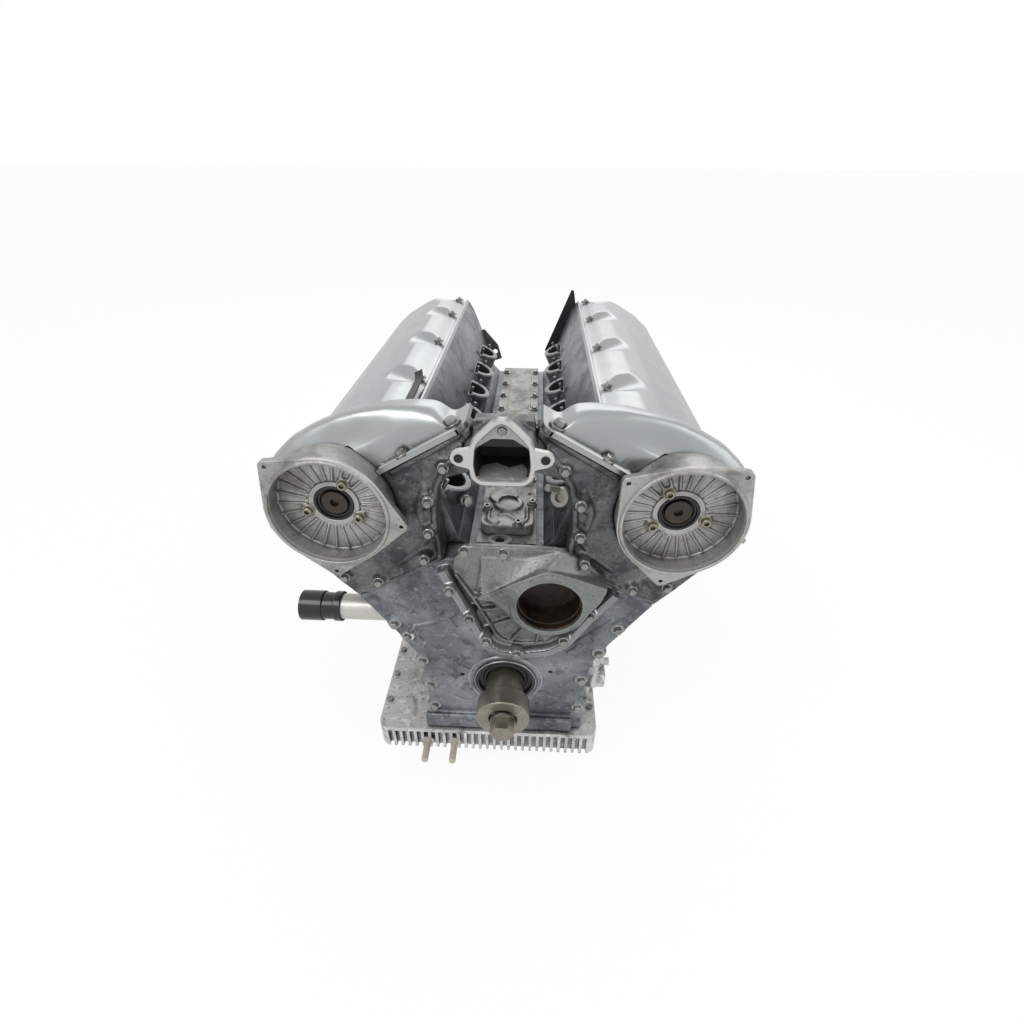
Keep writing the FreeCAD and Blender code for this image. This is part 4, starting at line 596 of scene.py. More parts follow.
def hump_height(v, u, y):
    """Hump over the chain housing: a steep front, a broad round ridge and one dent."""
    rise = u - FLANGE
    if rise < 0.4:
        return FLANGE
    foot = lerp(HUMP_FOOT, -655, step(-110, -40, v))
    along = (y - foot) / (HUMP_BACK - foot)
    if along <= 0:
        shape = 0
    elif along < 0.5:
        shape = (1 - (1 - along / 0.5) ** 2.3) ** (1 / 1.9)
    else:
        shape = 1 - 0.05 * ((along - 0.5) / 0.5) ** 2
    if along > 0.9:
        shape *= sqrt(max(0, 1 - ((along - 0.9) / 0.1) ** 2))
    dent = exp(-((v + 38) / 44) ** 2 - ((y + 645) / 8.5) ** 2)
    height = FLANGE + rise * shape - 17 * dent * min(1, shape * 1.5)
    return max(height, FLANGE)


def hump_cover(side, word):
    bm = bmesh.new()
    count = 84
    stations = [lerp(HUMP_EDGE, HUMP_BACK, i / count) for i in range(count + 1)]

    def inner(v, y):
        """The flange's front inner corner is rounded off."""
        if v > -152:
            return v
        depth = min(1, max(0, (y - HUMP_EDGE) / 14))
        return max(v, lerp(-150, -162, sqrt(1 - (1 - depth) ** 2)))

    def lip(v, y):
        """Raised bead along the flange's front edge."""
        if v < -150 or v > -52:
            return 0
        return 1.7 * exp(-((y + 660.2) / 1.3) ** 2) + 0.9 * exp(-((y + 654.6) / 1.2) ** 2)

    def top(i, j):
        v, u = HUMP[j]
        y = stations[i]
        return on_bank(side, hump_height(v, u, y) + lip(v, y), inner(v, y), y)

    def floor(i, j):
        return on_bank(side, 354.2, inner(HUMP[j][0], stations[i]), stations[i])

    slab(bm, len(stations), len(HUMP), top, floor)
    obj = add(f"{word}_hump", bm, "cover", f"{word}_cam_cover")
    carve(obj, turned([(TIP, -9.5), (DISH_NEST, -9.5), (DISH_NEST, 9.5), (TIP, 9.5)],
                      on_bank(side, *DISH_AXIS, -656), count=128))
    return obj


for word, side in BANKS:
    for shell in (crown_cover(side, word), hump_cover(side, word)):
        smooth(shell, 48)
        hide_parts(f"{word}_cam_cover")


def bank_direction(side, du, dv):
    return Vector((side * (du * SIN + dv * COS), 0, du * COS - dv * SIN))


def cover_bolt_set(bm):
    for side in SIDES:
        up = bank_direction(side, 1, 0)
        for y in BOLT_Y[side]:
            bolt(bm, on_bank(side, 373.6, BOLT_V, y), up, 5.6, 6.5, 8, 0.4)
        bolt(bm, on_bank(side, 361.4, -146, -646), up, 6.4, 6, 9.5, 0.2)
        bolt(bm, on_bank(side, 361.4, -84, -657.5), up, 5.4, 4, 7.5, 0.5)


piece("cover_bolt_heads", "bolt", cover_bolt_set, "cam_cover_bolts")

# Timing cover with its raised rail, bolt towers and ribs

TOWERS = [(-65, 185), (-43, 139), (-23, 101), (16, 79), (75, 106), (104, 151)]
TOWER_REACH = 21
RAIL = [(-74, 208), (-66, 188), (-54, 158), (-42, 128), (-31, 99), (-20, 77), (-5, 68), (20, 66), (58, 74),
        (79, 90), (107, 139), (133, 178)]
EDGE_BOLTS = [(-128, 86), (-113, 38), (-105, -12), (-103, -58), (-143, 108), (144, 112), (124, 66), (105, 10),
              (104, -50)]

extras = [rail(RAIL, 13, 14)]
extras += [boss(spot(x, COVER, z), 7, TOWER_REACH) for x, z in TOWERS]
extras += [boss(spot(x, COVER, z), 8.5, 3.5) for x, z in EDGE_BOLTS]
extras += [rail([(-108, 66), (-121, 74), (-126, 92), (-118, 104)], 6, 5),
           rail([(-118, 104), (-90, 112), (-64, 128)], 5, 3.5),
           rail([(-88, 128), (-74, 122), (-64, 104)], 5, 3.5),
           rail([(112, 92), (90, 68), (84, 62)], 9, 5),
           rail([(138, 128), (112, 100), (92, 82)], 8, 4)]
extras += [boss(spot(x, COVER, z), radius, height) for x, z, radius, height in
           ((-62, 42, 4, 1.2), (-86, 8, 17, 0.9), (58, -34, 15, 0.9), (-56, -30, 11, 0.8))]
cast("timing_cover", extras, 1.7, 3, 0.6)


def raised_set(bm):
    """Paler skin of the rail and the bolt towers."""
    absorb(bm, [rail(RAIL, 12.4, 14.4)]
           + [boss(spot(x, COVER, z), 7.2, TOWER_REACH + 0.2) for x, z in TOWERS])


piece("cover_rail", "raised", raised_set, "timing_cover", angle=50)


def round_ring(bm, centre, inner, outer, height):
    lathe(bm, [(inner, -3), (outer + 1.5, -3), (outer, height - 0.8), (outer - 0.8, height),
               (inner + 0.8, height), (inner, height - 0.8), (inner, -3)], centre, count=72)


def seal_land(bm):
    round_ring(bm, spot(0, COVER, 0), 45, 50, 2.2)
    round_ring(bm, spot(0, COVER, 0), 41.2, 43.2, 3.4)


piece("seal_land", "cast", seal_land, "timing_cover")


def front_bolt_set(bm):
    for x, z in TOWERS:
        bolt(bm, spot(x, COVER - TOWER_REACH + 1, z), FORWARD, 5.2, 4.6, 6.6, x)
    for x, z in EDGE_BOLTS + [(-46, 236), (-1, 234)]:
        out = 3.5 if z < 200 else 8.4
        bolt(bm, spot(x, COVER - out + 0.9, z), FORWARD, 5.6, 4.8, 7.4, z)


piece("front_bolt_heads", "bolt", front_bolt_set, "front_cover_bolts")

# Coolant pump housing: a flange plate, a wedge that leans out to the bore, ribs and a rusty bore

PUMP_X, PUMP_Z, PUMP_RADIUS, PUMP_FACE, PLATE = 54, 174, 39, -692, -668
PLATE_EDGE = [(-58, 226), (-62, 208), (-50, 184), (-38, 160), (-23, 126), (-13, 100), (-4, 90), (20, 86),
              (52, 90), (68, 106), (92, 146), (116, 182), (122, 196), (100, 220), (70, 240), (14, 243),
              (-42, 243)]
WEDGE_FACE = [(-30, 180), (10, 204), (50, 226), (86, 214), (120, 201), (113, 180), (102, 164), (92, 142),
              (72, 128), (50, 124), (26, 130), (9, 152), (10, 176)]
WEDGE_FOOT = [(-27, 229), (0, 228), (27, 228), (68, 240), (97, 219), (124, 193), (116, 172), (106, 158),
              (95, 138), (74, 124), (50, 120), (22, 126), (-34, 176)]
PUMP_RIBS = [([(-40, 171), (12, 171)], 3.4, 9), ([(-26, 150), (14, 156)], 3.4, 8),
             ([(-14, 124), (20, 140)], 3.4, 8), ([(8, 96), (30, 130)], 3.4, 8),
             ([(40, 92), (46, 124)], 3.4, 7),
             ([(-58, 204), (-47, 184), (-35, 160), (-20, 126), (-10, 102), (0, 93), (20, 89), (50, 93)],
              4.5, 5),
             ([(-30, 181), (10, 205), (50, 227), (86, 215), (119, 202)], 4, 23)]
PUMP_SEAT, PUMP_MOUTH = spot(PUMP_X, PLATE, PUMP_Z), spot(PUMP_X, PUMP_FACE + 6, PUMP_Z)


def ring_points(line, y):
    return [spot(x, y, z) for x, z in line]


bm = bmesh.new()
loft(bm, [ring_points(PLATE_EDGE, COVER + 0.4), ring_points(PLATE_EDGE, PLATE)])
wide, face = [smoothed(line + line[:1], 60, 0)[:-1] for line in (WEDGE_FOOT, WEDGE_FACE)]
loft(bm, [ring_points(wide, PLATE + 3), ring_points(wide, PLATE - 2), ring_points(face, PUMP_FACE + 4),
          ring_points(face, PUMP_FACE + 2.2)])
lathe(bm, [(TIP, -3), (50, -3), (48, 14), (47, 22), (46, 24), (TIP, 24)], PUMP_SEAT, count=96)
lathe(bm, [(TIP, -3), (54, -3), (53, 6), (51, 9), (TIP, 9)], PUMP_SEAT, count=96)
absorb(bm, [rail(line, width, height, place=lambda x, z, out: spot(x, PLATE - out, z))
            for line, width, height in PUMP_RIBS])
obj = add("pump_casting", bm, "pump", "water_pump_housing")
melt(obj, 1.3, 3)
carve(obj, turned([(TIP, -60), (PUMP_RADIUS, -60), (PUMP_RADIUS, 60), (TIP, 60)], PUMP_SEAT))
paint(obj, "pump")
smooth(obj, 40)
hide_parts("water_pump_housing")


def pump_lining(bm):
    """Stained bore: rust above, a groove and a step near its mouth."""
    lathe(bm, [(38.9, -32), (38.9, -23.4), (37.6, -22.8), (37.4, -9), (36.4, -8.4), (36.4, -5), (37.8, -4.4),
               (37.8, 3), (38.5, 3.6), (38.95, 4.2), (39.4, 4.2), (39.4, -32), (38.9, -32)],
          PUMP_MOUTH, count=96)
    lathe(bm, [(TIP, -34), (39.2, -34), (39.2, -29), (30, -29.4), (28, -31), (TIP, -31.6)],
          PUMP_MOUTH, count=96)


piece("pump_bore_lining", "rust", pump_lining, "water_pump_housing")

# Chain housings: rims along the inner edges, bolt towers, the seat of the dish

INNER_EDGE = [(340, -147), (333, -129), (315, -97), (279, -70), (240, -51), (228, -44)]
HOUSING_TOWERS = [(331, -118, 6.5, 9), (304, -80, 7, 10), (270, -58, 6.5, 12), (243, -34, 6.5, 15),
                  (262, 70, 6, 10), (236, 40, 6.5, 8), (300, -66, 4, 4)]


def bank_rail(side, line, width, height):
    return rail(line, width, height, place=lambda u, v, out: on_bank(side, u, v, COVER - out))


for word, side in BANKS:
    parts = [bank_rail(side, INNER_EDGE, 6.5, 6),
             bank_rail(side, [(228, -44), (226.5, 0), (226.5, 60), (232, 76)], 5, 5),
             bank_rail(side, [(318, -86), (300, -62), (276, -54)], 7, 4),
             bank_rail(side, [(262, -52), (250, -30), (244, 8)], 6, 3.5),
             bank_rail(side, [(352, -152), (350, -110), (349, -62)], 5, 3)]
    parts += [boss(on_bank(side, u, v, COVER), radius, height) for u, v, radius, height in HOUSING_TOWERS]
    cast(f"{word}_chain_housing", parts, 1.8, 3, 0.6)


def housing_bolt_set(bm):
    for side in SIDES:
        for u, v, radius, height in HOUSING_TOWERS[:6]:
            bolt(bm, on_bank(side, u, v, COVER - height + 0.8), FORWARD, 5, 4.4, 6.2, u)


piece("housing_bolt_heads", "bolt", housing_bolt_set, "front_cover_bolts")

# Distributor housings: fine castings with a bore seal and socket screws

SCREWS = {"right": (119, 210, 345), "left": (61, -30, 195)}
DISH_RIM, DISH_FLOOR, SCREW_SEAT, SCREW_PITCH = -682, -658, -661.6, 31

for word, side in BANKS:
    cast(f"{word}_distributor_housing", [], 0.95, 2, 0.6)


def lip_set(bm):
    """Raised round lip in front of each dish's rim."""
    for side in SIDES:
        lathe(bm, [(63.6, -4), (63.6, 2), (64.2, 2.6), (66.4, 2.6), (67.4, 1.8), (68.2, -0.5), (68.6, -4),
                   (63.6, -4)], on_bank(side, *DISH_AXIS, DISH_RIM), count=128)
        lathe(bm, [(22.6, -2), (22.6, 1.2), (23.2, 1.8), (28, 1.8), (29, 0.6), (29.4, -2), (22.6, -2)],
              on_bank(side, *DISH_AXIS, DISH_FLOOR), count=96)


piece("dish_lips", "dish", lip_set, "right_distributor_housing", "left_distributor_housing")


def front_seal(bm):
    """Crankshaft seal: a metal-backed ring with a recessed lip round the hub's neck."""
    lathe(bm, [(27, -8), (40.9, -8), (40.9, 2.6), (40.2, 3.3), (37.6, 3.3), (37, 2.6), (36.6, -3),
               (31.5, -4), (29, -1.5), (27.4, -1.2), (27, -8)], spot(0, COVER, 0), count=96)


piece("crank_seal", "rubber", front_seal, "crank_front_seal")


def seal_set(bm):
    for side in SIDES:
        lathe(bm, [(14.5, -10), (22.4, -10), (22.4, 1.5), (21.6, 2.2), (19.8, 2), (19.2, -1.5), (17.2, -2),
                   (16.8, -5), (14.8, -5.6), (14.5, -10)], on_bank(side, *DISH_AXIS, DISH_FLOOR), count=64)


group("shaft_seals", "rubber", "crank_front_seal", seal_set)


def screw_set(bm):
    for word, side in BANKS:
        for angle in SCREWS[word]:
            turn = radians(angle)
            at = on_bank(side, *DISH_AXIS, SCREW_SEAT) + Vector((cos(turn), 0, sin(turn))) * SCREW_PITCH * MM
            cap_screw(bm, at, FORWARD, 5.2, 4.2, 7.2)


piece("dish_screw_heads", "brass", screw_set, "distributor_screws")

# Coolant outlet: dark casting, pale machined rim, a bolt at the top of the mouth

cast("coolant_outlet", [], 1.2, 3, 0.7)
MOUTH = [(0, 411.5), (6, 409), (22, 393), (26, 386), (28, 366), (26, 353), (21, 349), (0, 348.5)]
ROOM = [(0, 391.5), (9, 391.5), (24, 381.5), (27.8, 372), (25.6, 350), (0, 349.5)]
EAR = [(30, 385), (38, 383), (44, 382), (48.5, 379), (50.5, 374), (48.5, 369), (44, 366), (38, 364.5),
       (30, 362)]
APEX = [(-26, 384), (-22, 393), (-5, 409.5), (5, 409.5), (22, 393), (26, 384)]
RIM_FACE, RIM_WIDTH, EAR_X, EAR_Z = -698.4, 4.2, 42, 374


def full(half):
    return half + [(-x, z) for x, z in reversed(half) if x > 0]


def rim_strip(bm, outline, width, front, back, count=96):
    """Flat machined band that follows an outline at constant width."""
    line = smoothed(outline + outline[:1], count + 1, 2)[:-1]
    outer = []
    for k, (x, z) in enumerate(line):
        x0, z0 = line[k - 1]
        x1, z1 = line[(k + 1) % count]
        length = hypot(x1 - x0, z1 - z0)
        outer.append((x - (z1 - z0) / length * width, z + (x1 - x0) / length * width))
    flat = [[(lerp(a[0], b[0], t), lerp(a[1], b[1], t)) for a, b in zip(line, outer)] for t in (0.08, 0.92)]
    rings = ((line, back), (line, front + 0.6), (flat[0], front), (flat[1], front),
             (outer, front + 0.6), (outer, back))
    loft(bm, [ring_points(ring, y) for ring, y in rings], around=True)


def outlet_rim(bm):
    rim_strip(bm, full(MOUTH), RIM_WIDTH, RIM_FACE, RIM_FACE + 6)
    for sign in SIDES:
        loft(bm, [[spot(sign * x, y, z) for x, z in EAR] for y in (RIM_FACE + 6, RIM_FACE + 0.2)])


piece("outlet_rim", "rim", outlet_rim, "coolant_outlet")


# Dark discs on the ears' faces: painted shade standing in for the holes
def ear_hole_set(bm):
    for sign in SIDES:
        lathe(bm, [(TIP, -5), (4.6, -5), (4.6, 0.5), (4.2, 0.8), (3.6, 0.3), (TIP, 0.3)],
              spot(sign * EAR_X, RIM_FACE, EAR_Z), count=32)


piece("outlet_ear_holes", "painted_shade", ear_hole_set, "coolant_outlet")


# Dark walls inside the outlet's mouth and room: painted shade
def outlet_mouth_shade(bm):
    rim_strip(bm, full([(x * 0.985, z - 0.6) for x, z in MOUTH]), 0.5, -696, -688)
    loft(bm, [ring_points(APEX, y) for y in (-690.6, -689.4)])
    rim_strip(bm, full(ROOM), 0.7, -690, -646)
    loft(bm, [ring_points(smoothed(full(ROOM) + ROOM[:1], 60, 1)[:-1], y) for y in (-647, -645.6)])


piece("outlet_mouth_shade", "painted_shade", outlet_mouth_shade, "coolant_outlet")


def outlet_scale(bm):
    """Pale deposit on the bottom of the mouth."""
    line = [(-24, -695), (24, -695), (26, -680), (20, -664), (6, -672), (-8, -661), (-22, -668), (-26, -682)]
    loft(bm, [[spot(x * k, lerp(-680, y, k), z) for x, y in line]
              for k, z in ((1, 348.4), (1, 350.3), (0.9, 350.9))])


piece("outlet_deposit", "scale", outlet_scale, "coolant_outlet")


def outlet_bolt(bm):
    at, axis = spot(0, -688, 400.5), (0, -1, 0.1)
    lathe(bm, [(TIP, -18), (6.5, -18), (6.5, -2), (5.5, 0), (TIP, 0)], at, axis)
    bolt(bm, at, axis, 5, 4.5, 6.6, 0.3)


group("outlet_inner_bolt", "bolt", "front_cover_bolts", outlet_bolt)

# Valley: plate with bolts, round-nosed case with a ringed disc, oval eye

PLATE_TOP, CASE_Z = 219, 234
EYE_X, EYE_Y, EYE_RADII = -8, -623, ((9.5, 6.5), (15, 10.5))
CASE_SCREWS = ((-27, -578), (31, -565), (14, -611))
CASE_DISC = (0, -566)
PLATE_BOLT_Y = [-44 - 62 * k for k in range(8)]


def flat_rail(points, width, height, z=CASE_Z):
    return rail(points, width, height, place=lambda x, y, out: spot(x, y, z + out))


case_extras = [turned([(TIP, -2), (19.5, -2), (18.5, 3.4), (17.5, 4.2), (TIP, 4.2)], spot(*CASE_DISC, CASE_Z),
                      UPWARD, 48),
               flat_rail([(-24, -580), (-24, -604), (-14, -612)], 4, 2.5),
               flat_rail([(24, -572), (25, -600), (16, -611)], 4, 2.5),
               flat_rail([(-12, -592), (0, -588), (10, -600)], 5, 2)]
for x, y in CASE_SCREWS + ((-16, -606),):
    case_extras.append(turned([(TIP, -2), (6.5, -2), (6, 2.4), (5, 3), (TIP, 3)], spot(x, y, CASE_Z),
                              UPWARD, 24))
case = cast("valley_front_cover", case_extras, 1.2, 2, 0.7)
carve(case, turned([(TIP, -3.6), (13.5, -3.6), (13.5, 9), (TIP, 9)], spot(*CASE_DISC, CASE_Z + 6),
                   UPWARD, 64))
smooth(case, 50)


def valley_ring(bm):
    """Oval collar round the eye in the plate's nose."""
    turns = [pi * k / 24 for k in range(48)]
    inner, outer = [[(EYE_X + a * cos(t), EYE_Y + b * sin(t)) for t in turns] for a, b in EYE_RADII]
    low, high = PLATE_TOP - 2, PLATE_TOP + 1.8
    loft(bm, [[spot(x, y, z) for x, y in ring] for ring, z in
              ((inner, low), (inner, high), (outer, high), (outer, low))], around=True)


piece("valley_eye_ring", "valley", valley_ring, "valley_cover")


def valley_bolt_set(bm):
    for x, y in CASE_SCREWS:
        cap_screw(bm, spot(x, y, CASE_Z + 2.8), UPWARD, 4.6, 3.2, 6)
    for side in SIDES:
        for k, y in enumerate(PLATE_BOLT_Y):
            bolt(bm, spot(side * 30, y, PLATE_TOP + 0.8), UPWARD, 4.4, 3.6, 6.2, k)


piece("valley_bolt_heads", "bolt", valley_bolt_set, "valley_bolts")


def valley_ribs(bm):
    for side in SIDES:
        parts = [flat_rail([(side * 21, -520), (side * 21, -30)], 3, 2.6, PLATE_TOP - 0.2)]
        parts += [flat_rail([(side * 21, y), (side * 32, y)], 9, 1.8, PLATE_TOP - 0.2) for y in PLATE_BOLT_Y]
        absorb(bm, parts)


piece("valley_ribs", "valley", valley_ribs, "valley_cover", angle=50)

# Ports: dark throats of painted shade, machined mouths, studs between them

BORE_ONE, PITCH, STAGGER = -554, 97, 22
HEADS = ("right_cylinder_head", "left_cylinder_head")
LEAN = radians(35)


def port(side, index, row):
    """Mouth centre and inward direction of a port."""
    y = BORE_ONE - (0 if side > 0 else STAGGER) + PITCH * index
    if row == "intake":
        return on_bank(side, 279, -78.4, y), bank_direction(side, -sin(LEAN), cos(LEAN))
    return on_bank(side, 262, 94, y), bank_direction(side, 0, -1)


def ports(row):
    for side in SIDES:
        for index in range(6):
            yield side, *port(side, index, row)


# Dark cups set into the ports: painted shade
def throat_set(row, radius, depth):
    def make(bm):
        for side, at, inward in ports(row):
            lathe(bm, [(radius - 1.2, 0.6), (radius + 0.3, 0.6), (radius + 0.3, depth), (TIP, depth),
                       (TIP, depth - 2), (radius - 3, depth - 2.5), (radius - 1.2, 0.6)], at, inward, 40)
    return make


for row, radius, depth in (("intake", 20, 26), ("exhaust", 17, 44)):
    piece(f"{row}_throats", "painted_shade", throat_set(row, radius, depth), *HEADS)


def port_rim(bm, at, inward, inner, outer, face, count):
    lathe(bm, [(inner, 1.5), (inner, face + 0.4), (inner + 0.5, face), (outer - 0.6, face),
               (outer, face + 0.5), (outer, 1.5), (inner, 1.5)], at, inward, count)


def mouth_set(bm):
    for side, at, inward in ports("intake"):
        port_rim(bm, at, inward, 20.1, 26.6, -0.7, 48)


piece("intake_mouths", "raised", mouth_set, *HEADS)


def stud_root(side, at, step_y, lift):
    return at + Vector((0, step_y * MM, 0)) + bank_direction(side, 1, 0) * lift * MM


def stud_set(bm):
    for side, at, inward in ports("intake"):
        for step_y, lift in ((-31, 6), (31, -8)):
            lathe(bm, [(TIP, -10), (7.5, -10), (6.5, 1.5), (5.5, 2.5), (2.9, 2.6), (2.9, 13), (2.2, 14),
                       (TIP, 14)], stud_root(side, at, step_y, lift) + inward * 4 * MM, -inward, 18)


piece("intake_studs", "cast", stud_set, *HEADS)

# Heads: cast ribs and exhaust ports on their outer sides


def outer_face(side, u, out, y):
    """Outer side of a head: it leans out to (290, 90) in the bank's plane, and less above."""
    v = lerp(64, 90, min(1, max(0, (u - 226) / 64))) if u < 290 else lerp(90, 100, min(1, (u - 290) / 55))
    return on_bank(side, u, v + out, y)


def side_ribs(side):
    lines = []
    for index in range(7):
        y = BORE_ONE - (0 if side > 0 else STAGGER) + PITCH * (index - 0.5)
        if -606 < y < -24:
            lines.append(([(232, y), (288, y), (292, y), (352, y)], 8, 4.5))
    lines.append(([(350, -600), (350, -26)], 7, 3.5))
    return lambda bm: absorb(bm, [
        rail(points, width, height, place=lambda u, y, out: outer_face(side, u, out, y))
        for points, width, height in lines])


for word, side in BANKS:
    piece(f"{word}_head_ribs", "cast", side_ribs(side), f"{word}_cylinder_head", angle=50)


def exhaust_set(bm):
    for side, at, inward in ports("exhaust"):
        port_rim(bm, at, inward, 17.1, 23.8, -0.8, 40)
        for step_y, lift in ((-30, 14), (30, -14)):
            lathe(bm, [(TIP, -22), (8, -22), (7, -2), (6, -1), (3.4, -1), (3.4, 12), (2.6, 13), (TIP, 13)],
                  stud_root(side, at, step_y, lift), -inward, 18)


piece("exhaust_mouths", "dish", exhaust_set, *HEADS)

# Block: ribs, core plugs and cross bolts on its sides, bosses and plugs on its back

SKIRT, SKIRT_TOP, REAR, CROSS_BOLT_Z = 112, 24, -14, -34
LEAN_X, LEAN_Z = 0.36, 0.933


def block_side(side, t, out, y):
    """Point on a side of the block, t up its outline: upright skirt, then the leaning bank."""
    if t <= SKIRT_TOP:
        return spot(side * (SKIRT + out), y, t)
    k = t - SKIRT_TOP
    return spot(side * (SKIRT + LEAN_X * k + LEAN_Z * out), y, SKIRT_TOP + LEAN_Z * k - LEAN_X * out)


def block_rib_set(bm):
    for side in SIDES:
        lines = [([(t, BORE_ONE + PITCH * (k - 0.5)) for t in (-92, -20, SKIRT_TOP, 80, 148)], 7, 5)
                 for k in range(1, 6)]
        lines += [([(SKIRT_TOP, -600), (SKIRT_TOP, -30)], 8, 4), ([(-88, -600), (-88, -30)], 7, 4),
                  ([(150, -600), (150, -30)], 7, 3.5)]
        absorb(bm, [rail(points, width, height, place=lambda t, y, out: block_side(side, t, out, y))
                    for points, width, height in lines])
        leaning = block_side(side, 100, 1, 0) - block_side(side, 100, 0, 0)
        for k in range(6):
            y = BORE_ONE + PITCH * k
            lathe(bm, [(TIP, -16), (20, -16), (20, 2.4), (18.6, 3), (16.4, 3), (15.6, 0.8), (TIP, 0.5)],
                  block_side(side, 90, 0, y), leaning, 40)
            lathe(bm, [(TIP, -3), (11, -3), (10, 5), (9, 6), (TIP, 6)],
                  block_side(side, CROSS_BOLT_Z, 0, y - PITCH / 2), (side, 0, 0), 28)
        for x, z in ((118, 66), (148, 146), (66, 200)):
            lathe(bm, [(TIP, -3), (11, -3), (10, 4), (9, 5), (5.4, 5), (5, -2), (TIP, -2)],
                  spot(side * x, REAR, z), REARWARD, 32)
        for u, v in ((336, 30), (336, -36)):
            lathe(bm, [(TIP, -16), (23, -16), (22.5, 3), (21, 4), (18, 4), (17, 1), (TIP, 0.4)],
                  on_bank(side, u, v, REAR), REARWARD, 40)


piece("block_ribs", "raised", block_rib_set, "cylinder_block", angle=50)


def block_bolt_set(bm):
    for side in SIDES:
        for k in range(6):
            y = BORE_ONE + PITCH * (k - 0.5)
            bolt(bm, block_side(side, CROSS_BOLT_Z, 5.2, y), (side, 0, 0), 5.6, 4.6, 7.6, k)
        for u, v in ((300, -66), (262, 40), (246, -52), (352, 70)):
            bolt(bm, on_bank(side, u, v, REAR - 0.4), REARWARD, 5.6, 4.6, 7.6, u)
    for k in range(8):
        a = pi * (k + 0.5) / 4
        bolt(bm, spot(64 * cos(a), -5.8, 64 * sin(a)), REARWARD, 5, 2.6, 6.8, k)


piece("block_bolt_heads", "bolt", block_bolt_set, "rear_seal_carrier")

# Small castings seen through the front windows


def window_casting(bm):
    """Pale casting with a pin, behind the right window."""
    lathe(bm, [(TIP, -16), (15, -16), (13, 0), (11.5, 2), (6, 2), (6, -2), (TIP, -2)],
          spot(64, -600, 269), (-0.45, -0.75, 0.5), 36)
    lathe(bm, [(TIP, -14), (4.2, -14), (4.2, 12), (3.4, 13), (TIP, 13)], spot(54, -604, 284),
          (-0.5, -0.7, 0.5), 20)


piece("window_casting", "machined", window_casting, "right_cylinder_head")


def window_nipple(bm):
    lathe(bm, [(TIP, -12), (7, -12), (7, 0), (5.5, 1), (5.5, 7), (7.2, 7.5), (7.2, 11), (4, 12), (TIP, 12)],
          spot(-50, -604, 264), (0.5, -0.75, 0.3), 24)


piece("window_nipple", "bolt", window_nipple, "left_cylinder_head")

# Rough bosses of the bracket on the right

BRACKET_LUMPS = ((8, -612, 2, 13, 16), (10, -596, -16, 15, 18), (4, -618, -36, 12, 20),
                 (6, -590, -46, 13, 14), (9, -568, -4, 15, 17))
cast("side_bracket", [boss(spot(SKIRT + out, y, z), radius, tall, 8, (0.8, -0.55, 0.2))
                      for out, y, z, radius, tall in BRACKET_LUMPS], 1.5, 2, 0.8)

# Strap at the left cover's first bolt

STRAP_LINE = ((-604, 366), (-596, 372), (-580, 376.5), (-520, 377), (-478, 377), (-470, 379), (-462, 383))
STRAP_SECTION = ((0, -72), (0, -83), (2.6, -84.5), (3.4, -72.5))


def strap_set(bm):
    loft(bm, [[on_bank(-1, u + lift, v, y) for lift, v in STRAP_SECTION] for y, u in STRAP_LINE])


piece("cover_strap", "black", strap_set, "hose_bracket")

# Rounded copies of the machined and plain pieces

ROUNDED = {
    "oil_pan": 1.6, "crank_hub": 2, "crank_bolt": 0.9, "valley_cover": 0.8, "filler_neck": 0.8,
    "filler_cap": 1.2, "oil_pan_bolts": 0.4, "oil_pan_pins": 1.5,
    "right_cylinder_head": 1.6, "left_cylinder_head": 1.6, "cylinder_block": 2, "rear_seal_carrier": 1.2,
    "rear_shroud": 0.6, "lifting_eye": 0.8,
}
for node, width in ROUNDED.items():
    dress(node, width)


# Stage

def studio_material():
    """Floor that shows almost white to the camera, to reflections and through glass."""
    mat = bpy.data.materials.new("studio_white")
    mat.use_nodes = True
    tree = mat.node_tree
    tree.nodes.clear()
    out = tree.nodes.new("ShaderNodeOutputMaterial")
    diffuse = tree.nodes.new("ShaderNodeBsdfDiffuse")
    diffuse.inputs["Color"].default_value = (0.86, 0.86, 0.86, 1)
    glow = tree.nodes.new("ShaderNodeEmission")
    scale = tree.nodes.new("ShaderNodeMath")
    scale.operation = "MULTIPLY"
    scale.inputs[1].default_value = 0.92
    tree.links.new(seen_directly(tree), scale.inputs[0])
    mix = tree.nodes.new("ShaderNodeMixShader")
    tree.links.new(scale.outputs[0], mix.inputs[0])
    tree.links.new(diffuse.outputs[0], mix.inputs[1])
    tree.links.new(glow.outputs[0], mix.inputs[2])
    tree.links.new(mix.outputs[0], out.inputs["Surface"])
    return mat


def seen_directly(tree):
    """One for camera, glossy and transmission rays."""
    path = tree.nodes.new("ShaderNodeLightPath")
    value = path.outputs["Is Camera Ray"]
    for other in ("Is Glossy Ray", "Is Transmission Ray"):
        most = tree.nodes.new("ShaderNodeMath")
        most.operation = "MAXIMUM"
        tree.links.new(value, most.inputs[0])
        tree.links.new(path.outputs[other], most.inputs[1])
        value = most.outputs[0]
    return value


bpy.ops.mesh.primitive_plane_add(size=40, location=(0, -0.3, CAD_BOX[0][2] - 0.0006))
floor = bpy.context.object
floor.name = "studio_floor"
floor.data.materials.append(studio_material())

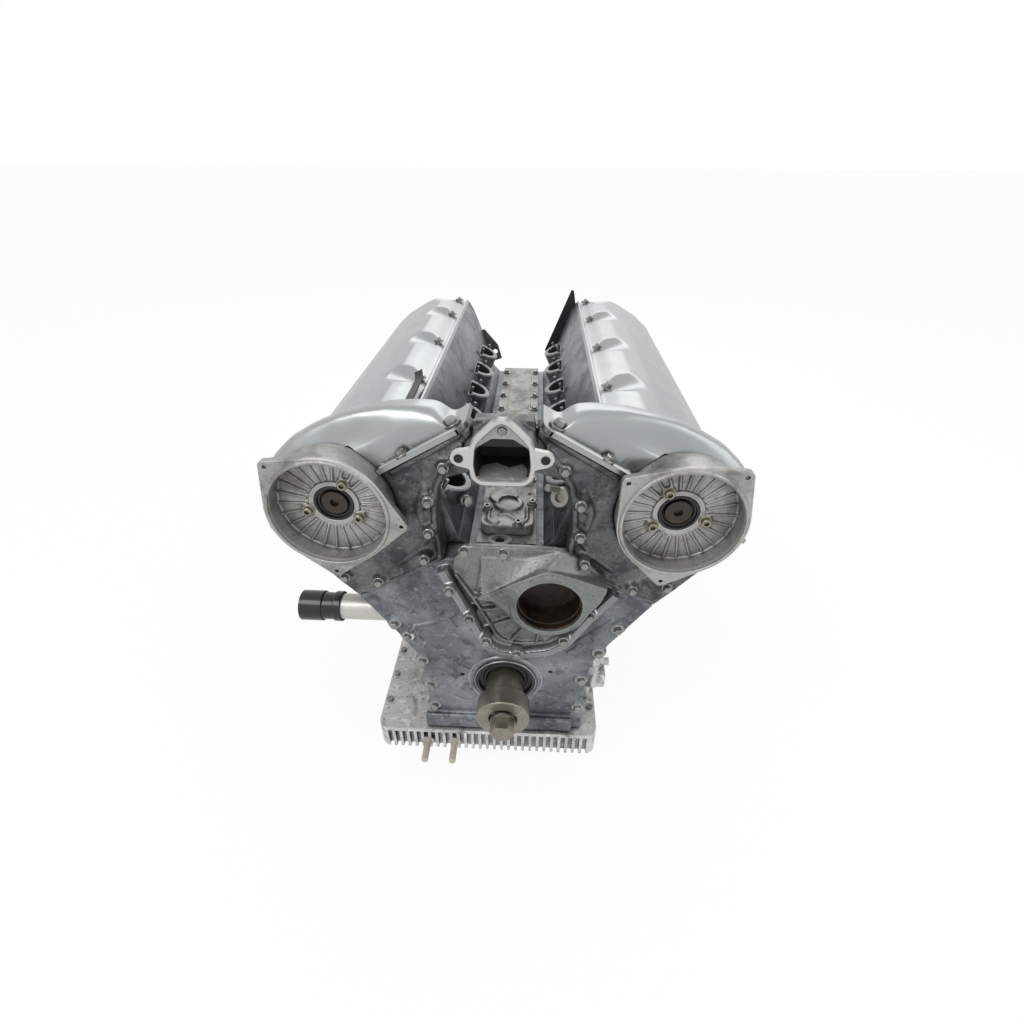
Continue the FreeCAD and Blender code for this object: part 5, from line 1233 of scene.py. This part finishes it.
scene = bpy.context.scene
world = bpy.data.worlds.new("studio")
scene.world = world
world.use_nodes = True
tree = world.node_tree
back = tree.nodes["Background"]
back.inputs["Color"].default_value = (0.95, 0.97, 1, 1)
back.inputs["Strength"].default_value = 0.8
white = tree.nodes.new("ShaderNodeBackground")
white.inputs["Color"].default_value = (1, 1, 1, 1)
mix = tree.nodes.new("ShaderNodeMixShader")
tree.links.new(seen_directly(tree), mix.inputs[0])
tree.links.new(back.outputs[0], mix.inputs[1])
tree.links.new(white.outputs[0], mix.inputs[2])
tree.links.new(mix.outputs[0], tree.nodes["World Output"].inputs["Surface"])


def area(name, place, aim, size, power):
    data = bpy.data.lights.new(name, "AREA")
    data.shape = "RECTANGLE"
    data.size, data.size_y = size
    data.energy = power
    obj = bpy.data.objects.new(name, data)
    bpy.context.collection.objects.link(obj)
    obj.location = place
    obj.rotation_euler = (Vector(aim) - Vector(place)).to_track_quat("-Z", "Y").to_euler()


area("key_light", (-0.9, -1.6, 1.9), (0, -0.4, 0.1), (1.2, 0.9), 16)
area("fill_light", (1.6, -0.9, 1.3), (0, -0.4, 0.1), (1.4, 1.4), 7)
area("back_light", (0.3, 1.6, 1.5), (0, -0.2, 0.2), (2, 1), 10)

# Camera at the photograph's viewing angle
YAW, TILT, ROLL = -0.0424, 0.6024, 0.0046
FOCAL_PIXELS, FRAME_PIXELS, SENSOR = 545.66, 1024, 36
forward = Vector((cos(TILT) * sin(YAW), cos(TILT) * cos(YAW), -sin(TILT)))
level = Vector((cos(YAW), -sin(YAW), 0))
upward = level.cross(forward)
right_dir = level * cos(ROLL) + upward * sin(ROLL)
up_dir = upward * cos(ROLL) - level * sin(ROLL)
camera_data = bpy.data.cameras.new("camera")
camera_data.sensor_width = SENSOR
camera_data.lens = FOCAL_PIXELS * SENSOR / FRAME_PIXELS
camera = bpy.data.objects.new("camera", camera_data)
bpy.context.collection.objects.link(camera)
camera.matrix_world = Matrix((right_dir, up_dir, -forward)).transposed().to_4x4()
camera.location = (0.0294, -1.1566, 0.629)
scene.camera = camera
scene.view_settings.view_transform = "Standard"
